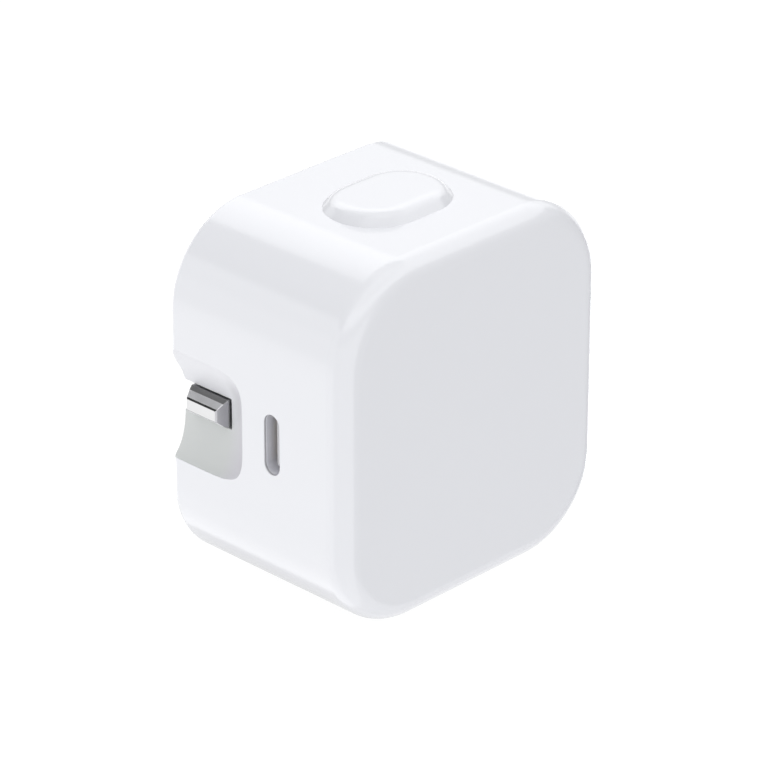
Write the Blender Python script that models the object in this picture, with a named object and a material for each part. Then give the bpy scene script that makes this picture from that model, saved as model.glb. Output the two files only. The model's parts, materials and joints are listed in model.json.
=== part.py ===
"""Compact wall-plug USB-C power adapter with a folding three-pin (BS 1363 pattern) plug.

The model is drawn in millimetres in the adapter's own drawing frame and written to the meshes in metres.
Drawing frame: x is the depth behind the plug face (pins swing out towards -x), y runs from the socket face
(-y) to the far end (+y), and z is the height above the body's middle plane. The empty "adapter" places that
frame so that the whole part is centred on x and y and stands on z = 0. The plug is drawn folded away.
"""

import math

import bmesh
import bpy
from mathutils import Vector

MM = 0.001
GAP = 0.3                      # clearance between neighbouring solids
PAST = 1.0                     # how far a cutter runs past what it cuts
OVERLAP = 0.2                  # how far joined solids run into each other
RUNNING_GAP = 0.1              # radial clearance of a shaft in its bearing

# Body
BODY_DEPTH = 31.0              # x, plug face to front face
BODY_LENGTH = 47.6             # y, socket face to far end
BODY_HEIGHT = 50.0             # z, without the grips
SOCKET_FACE = -BODY_LENGTH / 2 # y
CORNER_RADIUS = 12.7           # the four long edges that run along x
FRONT_FILLET = 3.0
REAR_FILLET = 0.9
WALL = 2.2
RIM_WALL = 1.5                 # wall beside the plug face plate
PLATE_THICKNESS = 2.5
CORNER_STEPS = 8
FILLET_STEPS = 4

# Grips, one on each z face
GRIP_HEIGHT = 1.5
GRIP_LENGTH = 18.0
GRIP_WIDTH = 13.0
GRIP_PROFILE = ((-0.4, 0.0), (0.0, 0.0), (0.7, 0.35), (1.2, 0.9), (GRIP_HEIGHT, 1.7))     # height, inset

# Finger notch in the edge between the socket face and the plug face
NOTCH_REACH = 13.4             # x where it ends
NOTCH_CENTRE_X = 3.0           # centre of its superelliptic outline
NOTCH_HALF_HEIGHT = 8.2
NOTCH_SQUARENESS = 3.5
NOTCH_RADIUS = 13.0            # of the hollow, about an axis along x
NOTCH_DEPTH = 2.9
NOTCH_BACKING = 4.4            # wall behind the notch, measured from the socket face
BACKING_HALF = 9.6             # half height of that wall
BACKING_MARGIN = 1.2           # how far it reaches past the notch in x

# USB-C socket
SOCKET_X = 18.4
SOCKET_OPENING = (2.7, 8.4)    # x, z
SHELL_OUTER = (3.26, 8.94)
SHELL_INNER = (2.56, 8.34)
SHELL_LENGTH = 7.3
SOCKET_LIP = 0.35              # housing wall left in front of the shell
MOUTH_RECESS = 0.45            # shell's mouth behind the socket face
TONGUE_SIZE = (0.7, 6.7)
TONGUE_RECESS = 0.82           # tongue's tip behind the mouth
COMB_STRIPS = 12               # contacts on each face of the tongue
COMB_PITCH = 0.5
COMB_STRIP_HALF = 0.13
COMB_THICKNESS = 0.12
COMB_LIFT = 0.14               # their middle above the tongue's face

# BS 1363 pin sizes and positions
PIN_THICKNESS = 3.975
EARTH_PIN_WIDTH = 7.95
LINE_PIN_WIDTH = 6.35
EARTH_PIN_LENGTH = 22.73
LINE_PIN_LENGTH = 17.7
EARTH_TO_LINE = 22.23          # earth pin centre to the line of the other two
LINE_PIN_OFFSET = 11.11        # live and neutral either side of the middle plane
SLEEVE_END = 9.1               # sleeve length outside the plug face
SLEEVE_WALL = 0.5
SHANK_STEP = 0.8               # how far the line pins' shank lies inside their surface, each side
TANG_SIZE = (2.0, 3.0)         # x, z of the line pins' contact tang
TANG_LEVELS = (-3.5, -1.8)     # its ends, along y from the pivot
LINE_PIN_BEVEL = 0.35
EARTH_PIN_BEVEL = 0.2
EYE_RADIUS = 2.1               # round end of the earth pin on its shaft
EYE_STEP = 0.2                 # how much lower than the pin it is, each side
EARTH_ROOT = 2.2               # from the earth pin's shoulder to its pivot
PIN_GATE_GAP = (0.4, 0.5)      # round the earth pin where it passes the notch, x and z
TIP_LENGTH = 1.77              # of the bevelled pin ends
TIP_INSET_THICK = 1.04         # bevel across the thickness, each side
TIP_INSET_WIDE = 0.65          # bevel across the width, each side

# Hinges, as (depth, y) in the drawing frame
LINE_Y = -12.2                 # live and neutral centre line with the plug unfolded
EARTH_Y = LINE_Y + EARTH_TO_LINE
EARTH_FOLDED_X = 4.95
EARTH_PIVOT_X = 7.75
EARTH_PIVOT_Y = EARTH_Y + EARTH_FOLDED_X - EARTH_PIVOT_X
LINE_FOLDED_X = 3.1
LINE_PIVOT_X = 3.6
LINE_PIVOT_Y = LINE_Y - (LINE_FOLDED_X - LINE_PIVOT_X)
SHAFT_RADIUS = 1.0
TRUNNION_RADIUS = 1.4
TRUNNION_END = 16.6            # z where the outer trunnions' bearings end

# Gear link: each pinion meshes with one edge of the synchronising slide
GEAR_MODULE = 0.45
GEAR_TEETH = 8
PITCH_RADIUS = GEAR_MODULE * GEAR_TEETH / 2
ADDENDUM = 0.85 * GEAR_MODULE
DEDENDUM = 1.2 * GEAR_MODULE
BACKLASH = 0.10
PRESSURE_ANGLE = math.radians(25)
RACK_Z = (3.9, 5.5)            # both racks, mirrored in the middle plane
RACK_BACK = 1.5                # solid height behind the rack's teeth
RACK_EDGE = 0.8                # plain length past a rack's last tooth
LINK_Y = (-6.0, -2.0)          # web between the racks
BAR_X = (9.4, 11.2)            # bar that joins both sides of the slide
BAR_Y = (-8.8, -5.4)
DETENT_Y = (-7.1, -7.1 - PITCH_RADIUS * math.pi / 2)     # the bar's notches, folded and unfolded
DETENT_NOTCH = (0.4, 0.6, 2.0)                           # depth, half width and half height of one
CONTACT_Y = (-16.9, -9.4)      # line contacts' feet and free ends

# Windows in the plate
EARTH_WINDOW_HALF = 3.7
EARTH_WINDOW_REACH = 7.6       # past the earth pin's pivot
LINE_WINDOW_MARGINS = (4.5, 0.7)     # before the line pins' pivot and past their folded tips

# Hinge cradle
CRADLE_X = (2.8, 13.0)
CRADLE_FLOOR = 1.0
CRADLE_END_WALL = 1.0
CRADLE_Y = (-19.0, 16.6)
CRADLE_HALF_HEIGHT = 17.4
INNER_RIB_Z = (5.9, 6.7)
OUTER_RIB_Z = (15.5, 17.4)

CRADLE_POSTS = ((-16.5, 15.6), (14.6, 15.6))     # (y, z) of the board's posts, mirrored in z
POST_RADIUS = 1.2
SCREW_PLACES = ((-11.5, 19.7), (11.5, 19.7))     # (y, z), mirrored in z
EAR_HALF = 2.2
EAR_THICKNESS = 1.8
SCREW_RADIUS = 0.8
SCREW_HEAD = (1.6, 1.1)        # radius, height
SCREW_POINT = (1.1, 1.6)       # x of its point and of its full thread
SCREW_SKIN = 0.8               # plate left in front of a screw hole

# Circuit board
BOARD_X = (15.3, 16.5)
BOARD_MARGIN = 0.7             # to the housing's inner wall
COMPONENT_X = BOARD_X[1] + GAP
UNDERSIDE_X = BOARD_X[0] - GAP

# Transformer
TRANSFORMER_Y = 1.0
CORE_X = (18.6, 25.6)
CORE_OUTER = 7.0               # half lengths in y
LEG_HALF = 1.8
CORE_LEG = 1.9
CORE_HALF_HEIGHT = 8.8
CORE_BACK = 2.0
CORE_GAP = 0.15                # from each half core to the middle plane
BOBBIN_WALL = 0.5
FLANGE_HALF = 5.1
FLANGE_THICKNESS = 0.7
WINDING_HALF = 5.0

# Capacitors and fuse
BULK_PLACE = (COMPONENT_X + 4.1, 14.4)
BULK_RADIUS = 4.0
BULK_Z = (2.0, 17.0)
OUTPUT_PLACE = (-14.6, -11.5)
OUTPUT_RADIUS = 3.15
OUTPUT_HEIGHT = 8.0
Y_CAPACITOR_PLACE = (COMPONENT_X + 3.7, -12.5)
Y_CAPACITOR_PROFILE = ((2.6, 10.2), (3.4, 10.9), (3.4, 12.3), (2.6, 13.0))     # radius, z
FUSE_PLACE = (2.0, -13.2)
FUSE_SIZE = (8.2, 4.0)
FUSE_HEIGHT = 7.6

# Choke: a ring core with two windings, standing on the board
CHOKE_PLACE = (2.0, 14.2)
CHOKE_RADII = (4.2, 2.0)
CHOKE_X = (COMPONENT_X + 1.0, COMPONENT_X + 5.4)
CHOKE_WIRE = 0.9
CHOKE_ARCS = {"choke_winding_outer": (-60, 60), "choke_winding_inner": (120, 240)}

# Chips under the board: name: (y, z), (length along y, width), height
LEGGED_CHIPS = {
    "bridge_rectifier": ((9.0, 9.0), (6.2, 5.0), 1.5),
    "primary_controller": ((8.0, -9.0), (5.0, 4.0), 1.4),
    "rectifier_controller": ((-8.0, -9.5), (5.0, 4.0), 1.4),
    "optocoupler": ((-8.0, 9.0), (4.0, 4.6), 1.6),
}
LEG_PITCH = 1.27
LEG_WIDTH = 0.44
LEG_REACH = 0.7
PORT_CONTROLLER = ((-16.0, 5.5), (4.0, 4.0), 0.9)
PORT_SWITCH = ((-15.8, 9.8), (3.0, 3.0), 1.0)

# Heat spreader, thermal pad and insulation
SPREADER_SIZE = (26, 30)
SPREADER_THICKNESS = 0.8
PAD_SIZE = (9, 14)
PAD_START = CORE_X[1] + 1.9
SHEET_Y = (-8.4, -8.0)
SHEET_END_X = CORE_X[1] + 1.0
SHEET_HALF = 15

# name: (colour, metallic, roughness)
FINISHES = {
    "white_plastic": ((0.86, 0.86, 0.87), 0.0, 0.22),
    "black_plastic": ((0.02, 0.02, 0.022), 0.0, 0.5),
    "grey_plastic": ((0.35, 0.36, 0.38), 0.0, 0.5),
    "socket_plastic": ((0.62, 0.62, 0.64), 0.0, 0.4),
    "pin_metal": ((0.75, 0.75, 0.76), 1.0, 0.15),
    "steel": ((0.55, 0.55, 0.56), 1.0, 0.3),
    "spring_bronze": ((0.72, 0.45, 0.25), 1.0, 0.3),
    "gold_plate": ((0.85, 0.65, 0.25), 1.0, 0.25),
    "board_green": ((0.02, 0.16, 0.07), 0.0, 0.4),
    "ferrite": ((0.06, 0.06, 0.065), 0.0, 0.6),
    "winding_tape": ((0.80, 0.60, 0.08), 0.0, 0.4),
    "copper_wire": ((0.70, 0.28, 0.12), 1.0, 0.35),
    "capacitor_sleeve": ((0.03, 0.06, 0.14), 0.0, 0.35),
    "capacitor_blue": ((0.05, 0.20, 0.50), 0.0, 0.4),
    "chip_black": ((0.025, 0.025, 0.03), 0.0, 0.55),
    "aluminium": ((0.75, 0.76, 0.77), 1.0, 0.35),
    "thermal_grey": ((0.45, 0.50, 0.55), 0.0, 0.8),
    "insulation_film": ((0.75, 0.45, 0.15), 0.0, 0.3),
}


# Scene, materials and objects

def clear_scene():
    for item in list(bpy.data.objects):
        bpy.data.objects.remove(item)


def material(name):
    found = bpy.data.materials.get(name)
    if found:
        return found
    colour, metallic, roughness = FINISHES[name]
    made = bpy.data.materials.new(name)
    made.use_nodes = True
    shader = made.node_tree.nodes["Principled BSDF"]
    shader.inputs["Base Color"].default_value = (*colour, 1.0)
    shader.inputs["Metallic"].default_value = metallic
    shader.inputs["Roughness"].default_value = roughness
    return made


def add_frame():
    frame = bpy.data.objects.new("adapter", None)
    frame.location = (-BODY_DEPTH / 2 * MM, 0.0, (BODY_HEIGHT / 2 + GRIP_HEIGHT) * MM)
    bpy.context.collection.objects.link(frame)
    return frame


def add_piece(name, shape, finish, origin=(0, 0, 0), smooth_angle=None):
    """Makes shape, a bmesh in millimetres, into an object whose origin is at the given point."""
    bmesh.ops.recalc_face_normals(shape, faces=shape.faces)
    bmesh.ops.translate(shape, verts=shape.verts, vec=-Vector(origin))
    bmesh.ops.scale(shape, verts=shape.verts, vec=(MM, MM, MM))
    mesh = bpy.data.meshes.new(name)
    shape.to_mesh(mesh)
    shape.free()
    if smooth_angle:
        mesh.shade_smooth()
        mesh.set_sharp_from_angle(angle=math.radians(smooth_angle))
    mesh.materials.append(material(finish))
    piece = bpy.data.objects.new(name, mesh)
    piece.location = Vector(origin) * MM
    piece.parent = FRAME
    bpy.context.collection.objects.link(piece)
    return piece


def combine(piece, operation, shapes):
    """Applies an exact Boolean of piece with each shape, a bmesh in millimetres."""
    tools = [add_piece("tool", shape, "steel") for shape in shapes]
    for tool in tools:
        modifier = piece.modifiers.new(operation, "BOOLEAN")
        modifier.operation = operation
        modifier.solver = "EXACT"
        modifier.object = tool
    bpy.context.view_layer.update()
    graph = bpy.context.evaluated_depsgraph_get()
    result = bpy.data.meshes.new_from_object(piece.evaluated_get(graph))
    piece.modifiers.clear()
    piece.data = result
    for tool in tools:
        bpy.data.objects.remove(tool)


# Outlines, as lists of two coordinates

def arc(centre, radius, start, end, steps):
    """Points on a circle between two angles in degrees, both ends included."""
    angles = [math.radians(start + (end - start) * i / steps) for i in range(steps + 1)]
    return [(centre[0] + radius * math.cos(a), centre[1] + radius * math.sin(a)) for a in angles]


def rounded_rectangle(width, height, radius, steps, centre=(0, 0)):
    points = []
    corners = [(1, 1, 0), (-1, 1, 90), (-1, -1, 180), (1, -1, 270)]
    for side_x, side_y, start in corners:
        corner = (centre[0] + side_x * (width / 2 - radius), centre[1] + side_y * (height / 2 - radius))
        points += arc(corner, radius, start, start + 90, steps)
    return points


def slot_outline(width, height, centre, steps=6):
    """A pill whose round ends are on the second coordinate."""
    half = height / 2 - width / 2
    top = arc((centre[0], centre[1] + half), width / 2, 0, 180, steps)
    bottom = arc((centre[0], centre[1] - half), width / 2, 180, 360, steps)
    return top + bottom


def superellipse(centre, half_width, half_height, power, steps):
    points = []
    for i in range(steps):
        angle = 2 * math.pi * i / steps
        cosine, sine = math.cos(angle), math.sin(angle)
        points.append((
            centre[0] + half_width * math.copysign(abs(cosine) ** (2 / power), cosine),
            centre[1] + half_height * math.copysign(abs(sine) ** (2 / power), sine),
        ))
    return points


# Solids, as bmeshes in millimetres

def loft(rings):
    """A closed solid through rings of equally many points, with flat ends."""
    shape = bmesh.new()
    rows = [[shape.verts.new(point) for point in ring] for ring in rings]
    for low, high in zip(rows, rows[1:]):
        for i in range(len(low)):
            j = (i + 1) % len(low)
            shape.faces.new((low[i], low[j], high[j], high[i]))
    shape.faces.new(list(reversed(rows[0])))
    shape.faces.new(rows[-1])
    return shape


def place(point, axis, level):
    """A point of a flat outline, put at a level on the axis the outline faces."""
    first, second = point
    return {"x": (level, first, second), "y": (first, level, second), "z": (first, second, level)}[axis]


def prism(outline, axis, low, high):
    return loft([[place(point, axis, level) for point in outline] for level in (low, high)])


def box(x, y, z):
    outline = [(x[0], y[0]), (x[1], y[0]), (x[1], y[1]), (x[0], y[1])]
    return prism(outline, "z", z[0], z[1])


def cylinder(centre, radius, axis, low, high, steps=16):
    return prism(arc(centre, radius, 0, 360 * (1 - 1 / steps), steps - 1), axis, low, high)


def bore(centre, radius, axis, low, high, steps=16):
    """A hole whose flats, not its corners, lie at the given radius."""
    return cylinder(centre, radius / math.cos(math.pi / steps), axis, low, high, steps)


def turned(profile, axis, centre, steps=20):
    """A solid turned from (radius, level) pairs about an axis through a centre."""
    last = 360 * (1 - 1 / steps)
    return loft([[place(point, axis, level) for point in arc(centre, radius, 0, last, steps - 1)]
                 for radius, level in profile])


def mirrored(low, high):
    """The same stretch of z on the other side of the middle plane."""
    return (-high, -low)


# Housing

def body_ring(x, inset):
    outline = rounded_rectangle(
        BODY_LENGTH - 2 * inset, BODY_HEIGHT - 2 * inset, CORNER_RADIUS - inset, CORNER_STEPS)
    return [place(point, "x", x) for point in outline]


def outer_body():
    rings = []
    for i in range(FILLET_STEPS + 1):
        angle = math.pi / 2 * (1 - i / FILLET_STEPS)
        rings.append(body_ring(REAR_FILLET * (1 - math.sin(angle)), REAR_FILLET * (1 - math.cos(angle))))
    for i in range(FILLET_STEPS + 1):
        angle = math.pi / 2 * i / FILLET_STEPS
        rings.append(body_ring(
            BODY_DEPTH - FRONT_FILLET * (1 - math.sin(angle)), FRONT_FILLET * (1 - math.cos(angle))))
    return rings


def inner_body():
    """The hollow, wider at the plug face to take the plate."""
    fillet = FRONT_FILLET - WALL
    ledge = PLATE_THICKNESS + GAP
    rings = [body_ring(-PAST, RIM_WALL), body_ring(ledge, RIM_WALL), body_ring(ledge, WALL)]
    for i in range(FILLET_STEPS + 1):
        angle = math.pi / 2 * i / FILLET_STEPS
        rings.append(body_ring(
            BODY_DEPTH - WALL - fillet * (1 - math.sin(angle)), WALL + fillet * (1 - math.cos(angle))))
    return rings


def grip(side):
    """A low oval mound, its foot sunk into the body's z face."""
    rings = []
    for height, inset in GRIP_PROFILE:
        width = GRIP_WIDTH - 2 * inset
        outline = slot_outline(width, GRIP_LENGTH - 2 * inset, (BODY_DEPTH / 2, 0), steps=8)
        rings.append([(x, y, side * (BODY_HEIGHT / 2 + height)) for x, y in outline])
    return loft(rings)


def notch_cutter():
    """The finger hollow: a superelliptic outline with a floor on a cylinder along x."""
    outline = superellipse(
        (NOTCH_CENTRE_X, 0), NOTCH_REACH - NOTCH_CENTRE_X, NOTCH_HALF_HEIGHT, NOTCH_SQUARENESS, 40)
    reach = NOTCH_REACH + PAST
    axis = (SOCKET_FACE + NOTCH_DEPTH - NOTCH_RADIUS, 0)
    hollow = add_piece("tool", cylinder(axis, NOTCH_RADIUS, "x", -reach, reach, 64), "steel")
    combine(hollow, "INTERSECT", [
        prism(outline, "y", SOCKET_FACE - NOTCH_DEPTH, SOCKET_FACE + 2 * NOTCH_DEPTH)])
    shape = bmesh.new()
    shape.from_mesh(hollow.data)
    bmesh.ops.scale(shape, verts=shape.verts, vec=(1 / MM, 1 / MM, 1 / MM))
    bpy.data.objects.remove(hollow)
    return shape


def pin_slot(low_y, high_y):
    """The earth pin's way through a wall, open towards the plug face."""
    half = PIN_THICKNESS / 2 + PIN_GATE_GAP[1]
    deep = EARTH_FOLDED_X + EARTH_PIN_WIDTH / 2 + PIN_GATE_GAP[0]
    return box((-PAST, deep), (low_y, high_y), (-half, half))


def build_housing():
    housing = add_piece("housing", loft(outer_body()), "white_plastic", smooth_angle=30)
    backing = box((0, NOTCH_REACH + BACKING_MARGIN), (SOCKET_FACE + WALL / 2, SOCKET_FACE + NOTCH_BACKING),
                  (-BACKING_HALF, BACKING_HALF))
    inside = SOCKET_FACE + WALL + PAST
    shell_pocket = prism(
        slot_outline(SHELL_OUTER[0] + 2 * GAP, SHELL_OUTER[1] + 2 * GAP, (SOCKET_X, 0)),
        "y", SOCKET_FACE + SOCKET_LIP, inside)
    opening = prism(slot_outline(*SOCKET_OPENING, (SOCKET_X, 0)), "y", SOCKET_FACE - PAST, inside)
    gate = pin_slot(SOCKET_FACE - PAST, SOCKET_FACE + NOTCH_BACKING + PAST)
    combine(housing, "DIFFERENCE", [loft(inner_body())])
    combine(housing, "UNION", [backing, grip(1), grip(-1)])
    combine(housing, "DIFFERENCE", [notch_cutter(), gate, shell_pocket, opening])


# Plug face plate and hinge cradle

def line_window(side):
    """Opening in the plate for one line pin and its carrier."""
    z = (INNER_RIB_Z[1], OUTER_RIB_Z[0])
    tip = LINE_PIVOT_Y + LINE_PIVOT_X + LINE_PIN_LENGTH
    y = (LINE_PIVOT_Y - LINE_WINDOW_MARGINS[0], tip + LINE_WINDOW_MARGINS[1])
    return box((-PAST, PLATE_THICKNESS + PAST), y, z if side > 0 else mirrored(*z))


def mirrored_places(places):
    return [(y, side * z) for y, z in places for side in (1, -1)]


def build_plate():
    inset = RIM_WALL + GAP
    plate = add_piece(
        "plug_face_plate", loft([body_ring(0, inset), body_ring(PLATE_THICKNESS, inset)]), "white_plastic")
    through = (-PAST, PLATE_THICKNESS + PAST)
    backing_half = BACKING_HALF + GAP
    backing_y = (SOCKET_FACE, SOCKET_FACE + NOTCH_BACKING + GAP)
    earth_y = (SOCKET_FACE, EARTH_PIVOT_Y + EARTH_WINDOW_REACH)
    backing_window = box(through, backing_y, (-backing_half, backing_half))
    earth_window = box(through, earth_y, (-EARTH_WINDOW_HALF, EARTH_WINDOW_HALF))
    combine(plate, "DIFFERENCE", [backing_window, earth_window, line_window(1), line_window(-1)])

    reliefs = []
    gear_reach = PITCH_RADIUS + ADDENDUM + GAP
    trunnion_reach = TRUNNION_RADIUS + GAP
    for reach, z in ((gear_reach, (RACK_Z[0] - GAP, RACK_Z[1] + GAP)),
                     (trunnion_reach, (RACK_Z[1], INNER_RIB_Z[1] + 0.5)),
                     (trunnion_reach, (OUTER_RIB_Z[0] - 0.5, TRUNNION_END + OVERLAP))):
        x = (LINE_PIVOT_X - reach, PLATE_THICKNESS + PAST)
        y = (LINE_PIVOT_Y - reach, LINE_PIVOT_Y + reach)
        reliefs += [box(x, y, z), box(x, y, mirrored(*z))]
    screw_holes = [cylinder(hole, SCREW_RADIUS + GAP, "x", SCREW_SKIN, PLATE_THICKNESS + PAST, 12)
                   for hole in mirrored_places(SCREW_PLACES)]
    combine(plate, "DIFFERENCE", reliefs + screw_holes)


def build_cradle():
    """An open tray behind the plate whose ribs carry the hinge bearings."""
    floor_x = CRADLE_X[1] - CRADLE_FLOOR
    y = CRADLE_Y
    cradle = add_piece("hinge_cradle", box(
        (floor_x, CRADLE_X[1]), y, (-CRADLE_HALF_HEIGHT, CRADLE_HALF_HEIGHT)), "grey_plastic")
    walls = []
    for low, high in (INNER_RIB_Z, OUTER_RIB_Z):
        for z in ((low, high), mirrored(low, high)):
            walls.append(box((CRADLE_X[0], floor_x + OVERLAP), y, z))
    end_half = OUTER_RIB_Z[0] + OVERLAP
    for stretch in ((y[0], y[0] + CRADLE_END_WALL), (y[1] - CRADLE_END_WALL, y[1])):
        walls.append(box((CRADLE_X[0], floor_x + OVERLAP), stretch, (-end_half, end_half)))
    for post in mirrored_places(CRADLE_POSTS):
        walls.append(cylinder(post, POST_RADIUS, "x", floor_x + 2 * OVERLAP, BOARD_X[0] - GAP, 12))
    ears_x = (CRADLE_X[0], CRADLE_X[0] + EAR_THICKNESS)
    for y_ear, z_ear in mirrored_places(SCREW_PLACES):
        z = sorted((z_ear + math.copysign(EAR_HALF, z_ear), math.copysign(OUTER_RIB_Z[1] - OVERLAP, z_ear)))
        walls.append(box(ears_x, (y_ear - EAR_HALF, y_ear + EAR_HALF), z))
    combine(cradle, "UNION", walls)

    earth_end = INNER_RIB_Z[1] + PAST
    earth_bearing = bore(
        (EARTH_PIVOT_X, EARTH_PIVOT_Y), SHAFT_RADIUS + RUNNING_GAP, "z", -earth_end, earth_end)
    line_bearing = bore(
        (LINE_PIVOT_X, LINE_PIVOT_Y), TRUNNION_RADIUS + RUNNING_GAP, "z", -TRUNNION_END, TRUNNION_END)
    cuts = [earth_bearing, line_bearing, pin_slot(y[0] - PAST, y[0] + CRADLE_END_WALL + PAST)]
    cuts += [cylinder(hole, SCREW_RADIUS + GAP, "x", 0, ears_x[1] + PAST, 12)
             for hole in mirrored_places(SCREW_PLACES)]
    slot_y, slot_half = (CONTACT_Y[0] - 0.4, CONTACT_Y[0] + 0.8), 1.9
    for side in (1, -1):
        z = side * LINE_PIN_OFFSET
        cuts.append(box((floor_x - PAST, CRADLE_X[1] + PAST), slot_y, (z - slot_half, z + slot_half)))
    combine(cradle, "DIFFERENCE", cuts)


def build_screws():
    """Self-tapping screws through the cradle's ears into the plate."""
    seat = CRADLE_X[0] + EAR_THICKNESS + GAP
    head_radius, head_height = SCREW_HEAD
    point, thread = SCREW_POINT
    profile = [(SCREW_RADIUS * 0.5, point), (SCREW_RADIUS, thread), (SCREW_RADIUS, seat), (head_radius, seat),
               (head_radius, seat + head_height * 0.6), (head_radius * 0.7, seat + head_height)]
    for index, (y, z) in enumerate(mirrored_places(SCREW_PLACES)):
        add_piece(f"cradle_screw_{index + 1}", turned(profile, "x", (y, z), 12), "steel", origin=(seat, y, z),
                  smooth_angle=40)


# Pins: drawn folded, each with its origin on its hinge axis

def pin_ring(y, centre_x, width_x, width_z, centre_z=0.0, bevel=LINE_PIN_BEVEL):
    half_x, half_z = width_x / 2, width_z / 2
    corners = [(1, 1), (-1, 1), (-1, -1), (1, -1)]
    ring = []
    for index, (side_x, side_z) in enumerate(corners):
        first = (side_x * half_x, side_z * (half_z - bevel))
        second = (side_x * (half_x - bevel), side_z * half_z)
        pair = (first, second) if index % 2 == 0 else (second, first)
        ring += [(centre_x + px, y, centre_z + pz) for px, pz in pair]
    return ring


def build_earth_pin():
    tip = EARTH_PIVOT_Y - EARTH_PIVOT_X - EARTH_PIN_LENGTH
    root = EARTH_PIVOT_Y - EARTH_ROOT
    end = (EARTH_PIN_WIDTH - 2 * TIP_INSET_WIDE, PIN_THICKNESS - 2 * TIP_INSET_THICK)
    shank = (EARTH_PIN_WIDTH, PIN_THICKNESS)
    pin = add_piece("earth_pin", loft([
        pin_ring(y, EARTH_FOLDED_X, *size, bevel=EARTH_PIN_BEVEL)
        for y, size in ((tip, end), (tip + TIP_LENGTH, shank), (root, shank))
    ]), "pin_metal", origin=(EARTH_PIVOT_X, EARTH_PIVOT_Y, 0))
    half = PIN_THICKNESS / 2 - EYE_STEP
    eye = cylinder((EARTH_PIVOT_X, EARTH_PIVOT_Y), EYE_RADIUS, "z", -half, half, 20)
    tang = box((EARTH_PIVOT_X - EYE_RADIUS, EARTH_PIVOT_X + SHAFT_RADIUS), (root - PAST, EARTH_PIVOT_Y),
               (-half, half))
    combine(pin, "UNION", [tang, eye])
    combine(pin, "DIFFERENCE", [bore(
        (EARTH_PIVOT_X, EARTH_PIVOT_Y), SHAFT_RADIUS + RUNNING_GAP, "z", -PIN_THICKNESS, PIN_THICKNESS)])


def build_line_pin(name, side):
    """A blade whose shank is thinner under the sleeve and ends in a contact tang."""
    z = side * LINE_PIN_OFFSET
    face_y = LINE_PIVOT_Y + LINE_PIVOT_X
    tip = face_y + LINE_PIN_LENGTH
    shoulder = face_y + SLEEVE_END + OVERLAP
    tang_start, tang_end = (LINE_PIVOT_Y + level for level in TANG_LEVELS)
    thin = (PIN_THICKNESS - 2 * SHANK_STEP, LINE_PIN_WIDTH - 2 * SHANK_STEP)
    full = (PIN_THICKNESS, LINE_PIN_WIDTH)
    end = (PIN_THICKNESS - 2 * TIP_INSET_THICK, LINE_PIN_WIDTH - 2 * TIP_INSET_WIDE)
    rings = [pin_ring(y, LINE_PIVOT_X, *TANG_SIZE, z) for y in (tang_start, tang_end)]
    rings += [pin_ring(y, LINE_FOLDED_X, *size, z) for y, size in (
        (tang_end, thin), (shoulder, thin), (shoulder, full), (tip - TIP_LENGTH, full), (tip, end))]
    add_piece(name, loft(rings), "pin_metal", origin=(LINE_PIVOT_X, LINE_PIVOT_Y, z))


def build_sleeve(name, side):
    z = side * LINE_PIN_OFFSET
    start = LINE_PIVOT_Y + LINE_PIVOT_X - GAP
    end = LINE_PIVOT_Y + LINE_PIVOT_X + SLEEVE_END
    sleeve = add_piece(name, loft([
        pin_ring(y, LINE_FOLDED_X, PIN_THICKNESS, LINE_PIN_WIDTH, z) for y in (start, end)
    ]), "black_plastic", origin=(LINE_PIVOT_X, LINE_PIVOT_Y, z))
    bore_size = (PIN_THICKNESS - 2 * SLEEVE_WALL, LINE_PIN_WIDTH - 2 * SLEEVE_WALL)
    combine(sleeve, "DIFFERENCE", [loft([
        pin_ring(y, LINE_FOLDED_X, *bore_size, z) for y in (start - PAST, end + PAST)])])


# Carriers, shaft and gears

def pinion_outline(centre, phase):
    """Involute teeth with their tips at the addendum; phase turns one tooth's centre, in radians."""
    base = PITCH_RADIUS * math.cos(PRESSURE_ANGLE)
    tip = PITCH_RADIUS + ADDENDUM
    root = PITCH_RADIUS - DEDENDUM
    roll = math.tan(PRESSURE_ANGLE) - PRESSURE_ANGLE
    half_at_pitch = math.pi / (2 * GEAR_TEETH) - BACKLASH / (2 * PITCH_RADIUS)

    def half_angle(radius):
        flank = math.acos(min(1.0, base / radius))
        return half_at_pitch + roll - (math.tan(flank) - flank)

    flank_radii = [base, (base + tip) / 2, tip]
    profile = [(root, half_angle(base))] + [(radius, half_angle(radius)) for radius in flank_radii]
    points = []
    for tooth in range(GEAR_TEETH):
        middle = phase + 2 * math.pi * tooth / GEAR_TEETH
        flank = [(radius, middle - half) for radius, half in profile]
        flank += [(radius, middle + half) for radius, half in reversed(profile)]
        points += [(centre[0] + r * math.cos(a), centre[1] + r * math.sin(a)) for r, a in flank]
    return points


def rack_teeth(pitch_x, first_y, count, side):
    """Outline points of straight teeth along y. side is +1 where they point towards +x."""
    pitch = math.pi * GEAR_MODULE
    slope = math.tan(PRESSURE_ANGLE)
    tip_half = pitch / 4 - BACKLASH / 2 - ADDENDUM * slope
    foot_half = pitch / 4 - BACKLASH / 2 + DEDENDUM * slope
    points = []
    for tooth in range(count):
        y = first_y + tooth * pitch
        points += [
            (pitch_x - side * DEDENDUM, y - foot_half), (pitch_x + side * ADDENDUM, y - tip_half),
            (pitch_x + side * ADDENDUM, y + tip_half), (pitch_x - side * DEDENDUM, y + foot_half)]
    return points


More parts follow.
